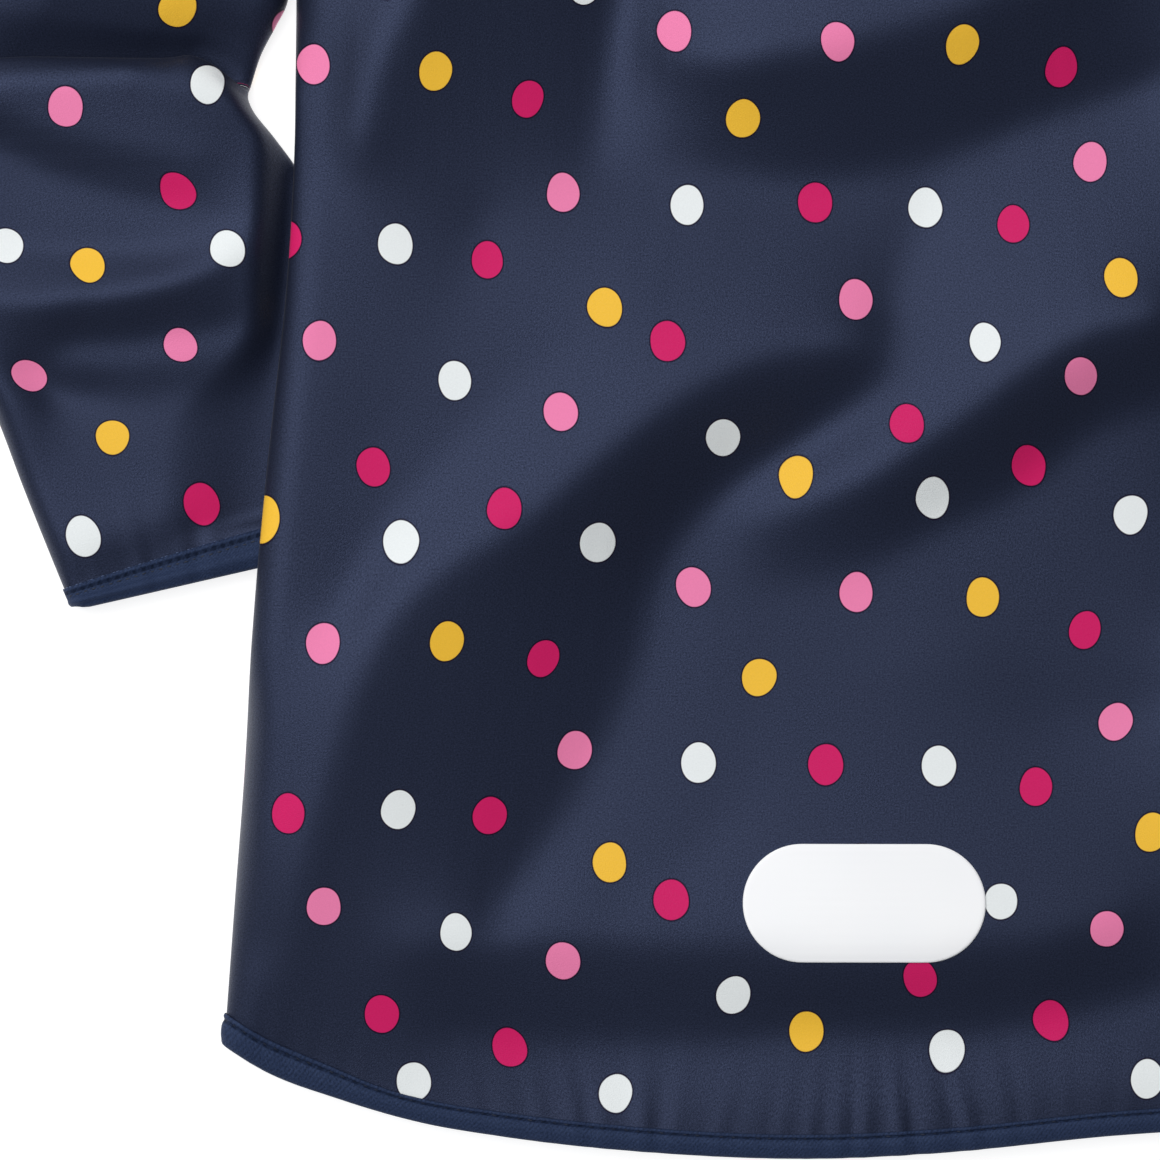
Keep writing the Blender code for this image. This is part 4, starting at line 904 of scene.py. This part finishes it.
# Elastic bindings. A twilled nylon and elastane tape, folded over the raw edge of the hem and of
# each cuff and sewn through. It is stretched as it is sewn, so it draws the cloth in a little.
def twilled_elastic(name, dents_at, dents_wide, pitch):
    """Navy tape: slanting twill ribs, slightly fuzzy, pulled in where the needle went through. The
    dents are darkened in the base colour: painted shade.
    dents_at and dents_wide are distances from the tape's free edge, in mm. The ribs and the fuzz
    are drawn about twice as coarse as they are."""
    made, tree, shader = new_material(name, {
        "Roughness": 0.7, "Specular Tint": (0.5, 0.64, 1.0, 1.0), "Sheen Weight": 0.06,
        "Sheen Roughness": 0.5, "Sheen Tint": srgb("6f86b8"),
    })
    place = add(tree, "Attribute", attribute_name="print_mm").outputs["Vector"]
    fuzz = noise(tree, place, 1.4, 5.0, 0.9)
    rib = add(tree, "TexWave", {"Vector": place, "Scale": 0.42, "Distortion": 2.5, "Detail": 2.0},
              bands_direction="DIAGONAL").outputs["Fac"]
    weave = maths(tree, "MULTIPLY_ADD", rib, 0.1, maths(tree, "MULTIPLY", fuzz, 0.8))
    navy = two_navies(tree, weave, "10192c", "2c3b5e")
    at = add(tree, "SeparateXYZ", {0: place})
    across = maths(tree, "ABSOLUTE", maths(tree, "SUBTRACT", at.outputs["Y"], dents_at))
    beat = maths(tree, "SINE", maths(tree, "MULTIPLY", at.outputs["X"], 2 * math.pi / pitch))
    line = spread(tree, across, dents_wide, dents_wide * 0.45)
    dent = maths(tree, "MULTIPLY", line, spread(tree, beat, -0.5, 0.9, 0.55))
    # painted shade: the base colour is mixed toward near-black 05070d in the needle dents, for the shadow in
    # their pits
    painted_dent_shade = maths(tree, "MULTIPLY", dent, 0.6)
    tree.links.new(mixed(tree, painted_dent_shade, navy, "05070d"), shader.inputs["Base Color"])
    glint = spread(tree, fuzz, 0.35, 0.65, 0.2, 0.8)
    shine = maths(tree, "MULTIPLY", spread(tree, dent, 0.0, 1.0, 1.0, 0.3), glint)
    tree.links.new(shine, shader.inputs["Specular IOR Level"])
    relief(tree, shader, maths(tree, "MULTIPLY_ADD", dent, -1.5, weave), 0.5, 0.0004)
    return made


def sewing_thread(name, colour, shade):
    """Spun polyester thread, twisted, with a dull shine."""
    return mottled(name, {"Roughness": 0.6}, {"Scale": 3000.0, "Detail": 1.0}, (colour, shade))[0]


hem_elastic = twilled_elastic("twilled_elastane_tape_hem", 1.5, 0.6, 4.0)
cuff_elastic = twilled_elastic("twilled_elastane_tape_cuff", 1.7, 0.9, 2.9)
thread = sewing_thread("navy_polyester_thread", "1a2338", "0d1322")
edge_thread = sewing_thread("blue_polyester_thread", "6c7ea6", "3a4764")
# (part of the tape's width up from the edge, height over the cloth): full above the fold, pressed
# down along the stitches and raised again at the tape's free edge
HEM_PROFILE = (
    (0.0, 0.95), (0.08, 1.1), (0.2, 1.22), (0.35, 1.25), (0.5, 1.16), (0.6, 0.98), (0.68, 0.66), (0.74, 0.4),
    (0.79, 0.36), (0.84, 0.52), (0.9, 0.7), (0.96, 0.62), (1.0, 0.15),
)
CUFF_PROFILE = (
    (0.0, 1.1), (0.08, 1.5), (0.2, 1.85), (0.32, 1.95), (0.44, 1.75), (0.54, 1.2), (0.6, 0.66), (0.67, 0.4),
    (0.76, 0.34), (0.84, 0.38), (0.91, 0.55), (0.96, 0.6), (1.0, 0.15),
)
HEM_TAPE_WIDTHS = (4.9, 8.2)                # round the back and fronts, at the side seams
CUFF_TAPE_WIDTHS = (8.0, 10.4)              # at the cuff's outer edge, at its inner edge
HEM_FOLD = 2.4                              # how far the fold stands past the raw edge
CUFF_FOLD = 1.6
TAPE_THICK = 0.25
TAPE_CLEAR = 0.32                           # the tape's upper face stands at least this far over the cloth
FLOOR_CLEAR = 0.02
HEM_WIDENS = (150.0, 45.0)                  # where the hem's tape starts to widen, and over how far
STITCHES_AT = 8                             # the profile's row that the stitches pull down
FREE_EDGE = 12                              # the profile's last row


def folded_tape(name, rows, profile, reach, full, look, replaced):
    """rows are the cloth's outer points at each share of the profile, from edge to free edge.
    reach is how far the fold stands out, and full is its share of the profile at each column."""
    out = normals(rows)
    full = np.asarray(full).reshape(-1, 1)
    over = [rows[k] + out[k] * np.maximum(h * full, TAPE_CLEAR) for k, (_, h) in enumerate(profile)]
    below = [rows[k] - out[k] * (CLOTH_THICK + 0.3 * h + TAPE_THICK) for k, (_, h) in enumerate(profile)]
    inward = rows[1] - rows[0]
    inward = inward / np.maximum(np.linalg.norm(inward, axis=1, keepdims=True), 1e-9)
    high, low = profile[0][1], CLOTH_THICK + 0.3 * profile[0][1] + TAPE_THICK
    fold = []
    for turn in np.linspace(0, math.pi, 8)[1:-1]:
        middle = rows[0] + out[0] * (high * full - low) / 2
        arc = out[0] * (high * full + low) / 2 * math.cos(turn) - inward * reach * full * math.sin(turn)
        fold.append(middle + arc)
    loop = np.array(over[::-1] + fold + below)
    loop[..., 2] = np.maximum(loop[..., 2], FLOOR_CLEAR)
    on_tape = np.dstack(np.meshgrid(run_lengths(rows[0]), run_lengths(loop[:, 3])))
    tape = cloth(name, loop, on_tape, (look,), TAPE_THICK)
    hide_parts(replaced)


def tube_faces(first, rings, sides, flip=False):
    """Faces of a closed tube whose rings of points follow one another."""
    faces = []
    for k in range(rings - 1):
        for s in range(sides):
            a, b = first + k * sides + s, first + k * sides + (s + 1) % sides
            faces.append((a, a + sides, b + sides, b))
    faces.append(tuple(first + s for s in range(sides)))
    faces.append(tuple(first + (rings - 1) * sides + s for s in reversed(range(sides))))
    return [face[::-1] for face in faces] if flip else faces


def stitch_row(name, line, out, pitch, length, look, width=0.5, slant=0.0):
    """Lockstitches: each is a short twisted lens of thread, pulled down at both ends."""
    run = run_lengths(line)
    starts = np.arange(pitch * 0.3, run[-1] - length, pitch)
    points, faces = [], []
    rings, sides = 5, 6
    for number, start in enumerate(starts):
        at = start + np.linspace(0, length, rings)
        middle = np.column_stack([np.interp(at, run, line[:, k]) for k in range(3)])
        up = np.column_stack([np.interp(at, run, out[:, k]) for k in range(3)])
        ahead = np.gradient(middle, axis=0)
        ahead /= np.linalg.norm(ahead, axis=1, keepdims=True)
        side = np.cross(ahead, up)
        middle = middle + side * (np.linspace(-slant, slant, rings) + 0.08 * math.sin(number * 1.9))[:, None]
        faces += tube_faces(len(points), rings, sides)
        for k in range(rings):
            bulge = math.sin(math.pi * (k + 0.35) / (rings - 0.3)) ** 0.6
            rise = 0.22 * bulge - 0.12 + 0.04 * math.sin(number * 2.3)
            for s in range(sides):
                a = 2 * math.pi * s / sides
                over = up[k] * (rise + width * 0.4 * bulge * math.sin(a))
                points.append(middle[k] + over + side[k] * width / 2 * bulge * math.cos(a))
    made = sewn_piece(name, points, faces, (look,))


def hem_cloth(width):
    """Points of the cloth under a hem tape of one width, from the zip's one side round to the other."""
    shares = [t * width / (SHOULDER_TIP[1] - SIDE_HEM_Y) for t, _ in HEM_PROFILE]
    hem_back, hem_front = back_face(BACK_STEPS, shares), front_face(FRONT_STEPS, shares)
    return np.concatenate([mirrored(hem_front), hem_back, hem_front[:, ::-1]], axis=1)


narrow, wide = (hem_cloth(width) for width in HEM_TAPE_WIDTHS)
at_side = ease((np.abs(narrow[0, :, 0]) - HEM_WIDENS[0]) / HEM_WIDENS[1])
hem_ring = narrow + (wide - narrow) * at_side[:, None]
folded_tape("hem_binding_tape", hem_ring, HEM_PROFILE, HEM_FOLD, 1.0, hem_elastic, "hem_binding")
line, out = hem_ring[STITCHES_AT], normals(hem_ring)[STITCHES_AT]
stitch_row("hem_stitches", line + out * 0.42, out, 4.0, 2.6, thread, 0.5, 0.25)

for side, sign in (("left", -1), ("right", 1)):
    outer, inner = (
        sleeve_face([CUFF_SECTION - t * width / LAST_SECTION for t, _ in CUFF_PROFILE], sign)[0][:, :-1]
        for width in CUFF_TAPE_WIDTHS
    )
    off_edge = outer[0, :, 0].max() - outer[0, :, 0]
    rows = outer + (inner - outer) * (off_edge / off_edge.max())[:, None]
    rows = np.concatenate([rows, rows[:, :1]], axis=1)
    full = 0.3 + 0.7 * ease(np.append(off_edge, off_edge[0]) / 5.0)
    rows, full = (mirrored(rows)[:, ::-1], full[::-1]) if sign < 0 else (rows, full)
    replaced = "cuff_binding_" + side
    folded_tape("cuff_%s_tape" % side, rows, CUFF_PROFILE, CUFF_FOLD, full, cuff_elastic, replaced)
    line, out = rows[STITCHES_AT], normals(rows)[STITCHES_AT]
    stitch_row("cuff_%s_stitches" % side, line + out * 0.42, out, 2.9, 1.9, thread, 0.6)
    line, out = rows[FREE_EDGE], normals(rows)[FREE_EDGE]
    stitch_row("cuff_%s_edge_thread" % side, line + out * 0.3, out, 1.3, 1.05, edge_thread, 0.34)


# Reflective label. A white film full of glass beads, cut with round ends and heat-bonded to the
# back above the hem. It is blank, thin and a little stiffer than the cloth.
LABEL_CENTRE = (0.0, 84.5)
LABEL_SIZE = (80.0, 39.0)
LABEL_GAP = 0.3
LABEL_THICK = 0.3


def beaded_film(name):
    """White film: very bright and even, with a faint pearl grain. The beads are drawn at 0.4 mm,
    ten times their size."""
    made, tree, shader, _ = mottled(
        name, {"Roughness": 0.55, "Coat Weight": 0.1}, {"Scale": 30.0, "Detail": 2.0}, ("f9fafc", "ffffff"),
    )
    place = add(tree, "TexCoord").outputs["Object"]
    beads = add(tree, "TexVoronoi", {"Vector": place, "Scale": 2500.0})
    relief(tree, shader, beads.outputs["Distance"], 0.1, 0.0001)
    return made


film = beaded_film("glass_bead_reflective_film")
radius = LABEL_SIZE[1] / 2
straight = LABEL_SIZE[0] / 2 - radius
outline = []
for end in (1, -1):
    for turn in np.linspace(-math.pi / 2, math.pi / 2, 40):
        outline.append((end * (straight + radius * math.cos(turn)), end * radius * math.sin(turn)))
    for x in np.linspace(straight, -straight, 16)[1:-1]:
        outline.append((end * x, end * radius))
outline = np.array(outline)
rings = []
for shrink in list(np.linspace(0.02, 0.96, 22)) + [0.985, 1.0]:
    spot = outline * shrink + np.array(LABEL_CENTRE)
    rise = LABEL_GAP + LABEL_THICK * (1.0 if shrink < 0.99 else 0.4)
    rings.append(np.column_stack([spot, back_height(spot[:, 0], spot[:, 1]) + rise]))
rings.append(np.column_stack([spot, back_height(spot[:, 0], spot[:, 1]) - 0.2]))
count = len(outline)
faces = []
for j in range(len(rings) - 1):
    for i in range(count):
        k = (i + 1) % count
        faces.append((j * count + i, (j + 1) * count + i, (j + 1) * count + k, j * count + k))
faces.append(tuple(range(count)))
label = sewn_piece("label_film", np.concatenate(rings), faces, (film,))
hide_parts("reflective_label")


# Zip. A closed nylon coil zip between the fronts: two woven tapes sewn under their edges, the
# coil, a moulded box at the bottom, and a die-cast slider with a hinged pull tab.
ZIP_BOTTOM = 32.0
ZIP_TOP = 554.0
TAPE_EDGES = (1.9, 15.0)    # a tape's two edges, from the zip's middle
COIL_PITCH = 1.6


def woven_tape(name):
    """Polyester herringbone: slanting ribs 0.9 mm wide, about twice their real size."""
    made, tree, shader = new_material(name, {"Roughness": 0.8})
    place = add(tree, "Attribute", attribute_name="print_mm").outputs["Vector"]
    rib = add(tree, "TexWave", {"Vector": place, "Scale": 0.35, "Distortion": 0.4},
              bands_direction="DIAGONAL").outputs["Fac"]
    tree.links.new(mixed(tree, rib, "12182a", "263048"), shader.inputs["Base Color"])
    relief(tree, shader, rib, 0.5, 0.0002)
    return made


webbing = woven_tape("herringbone_zip_tape")
tape_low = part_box("zip_tape_left")[0][2] / MM
for side, sign in (("left", -1), ("right", 1)):
    x = np.linspace(*TAPE_EDGES, 12)[::sign] * sign
    y = np.linspace(ZIP_BOTTOM, ZIP_TOP, 260)
    grid = np.zeros((len(y), len(x), 3))
    grid[..., 0], grid[..., 1] = x[None, :], y[:, None]
    grid[..., 2] = tape_low + 0.02 + 0.12 * np.sin(y / 7.0)[:, None] * (np.abs(x)[None, :] / 15.0) ** 2
    tape = cloth("zip_tape_%s_woven" % side, grid[:, ::-1], grid[:, ::-1, :2], (webbing,), 0.5)
    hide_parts("zip_tape_" + side)


def moulded_nylon(name):
    """Glossy navy monofilament and moulding."""
    settings = {"Roughness": 0.32, "IOR": 1.53}
    return mottled(name, settings, {"Scale": 900.0, "Detail": 2.0}, ("161d30", "222b44"))[0]


nylon = moulded_nylon("navy_nylon_coil")
chain_low, chain_high = (np.array(c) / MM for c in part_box("zip_chain"))
level = (chain_low[2] + chain_high[2]) / 2
chain_start, chain_end = chain_low[1] + JACKET_MIDDLE, chain_high[1] + JACKET_MIDDLE
points, faces = [], []
rings, sides = 9, 6
for number in range(int((chain_end - chain_start - 1.2) / COIL_PITCH)):
    sign = 1 if number % 2 else -1
    y = chain_start + 0.9 + number * COIL_PITCH
    turns = np.linspace(-0.75 * math.pi, 0.75 * math.pi, rings)
    path = np.array([
        (sign * (0.75 - 1.5 * math.cos(a)), y + 0.25 * math.sin(a), level + 0.8 * math.sin(a)) for a in turns
    ])
    ahead = np.gradient(path, axis=0)
    ahead /= np.linalg.norm(ahead, axis=1, keepdims=True)
    side = np.cross(ahead, np.array([0, 1.0, 0]))
    side /= np.linalg.norm(side, axis=1, keepdims=True)
    other = np.cross(ahead, side)
    faces += tube_faces(len(points), rings, sides, True)
    for k in range(rings):
        for a in np.linspace(0, 2 * math.pi, sides, endpoint=False):
            points.append(path[k] + 0.36 * (side[k] * math.cos(a) + other[k] * 1.3 * math.sin(a)))
coil = sewn_piece("zip_coil_teeth", points, faces, (nylon,))
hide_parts("zip_chain")
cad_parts["zip_box"].material_slots[0].material = nylon


def die_cast_zinc(name):
    """Barrel-plated zinc: bright grey with fine scuffs."""
    made, tree, shader, scuff = mottled(name, {"Metallic": 1.0}, {"Scale": 1200.0, "Detail": 4.0},
                                        ("a9abb0", "c9cbcf"))
    tree.links.new(spread(tree, scuff, 0.0, 1.0, 0.24, 0.42), shader.inputs["Roughness"])
    return made


zinc = die_cast_zinc("plated_die_cast_zinc")
for node in ("zip_slider", "zip_pull_tab"):
    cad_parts[node].material_slots[0].material = zinc
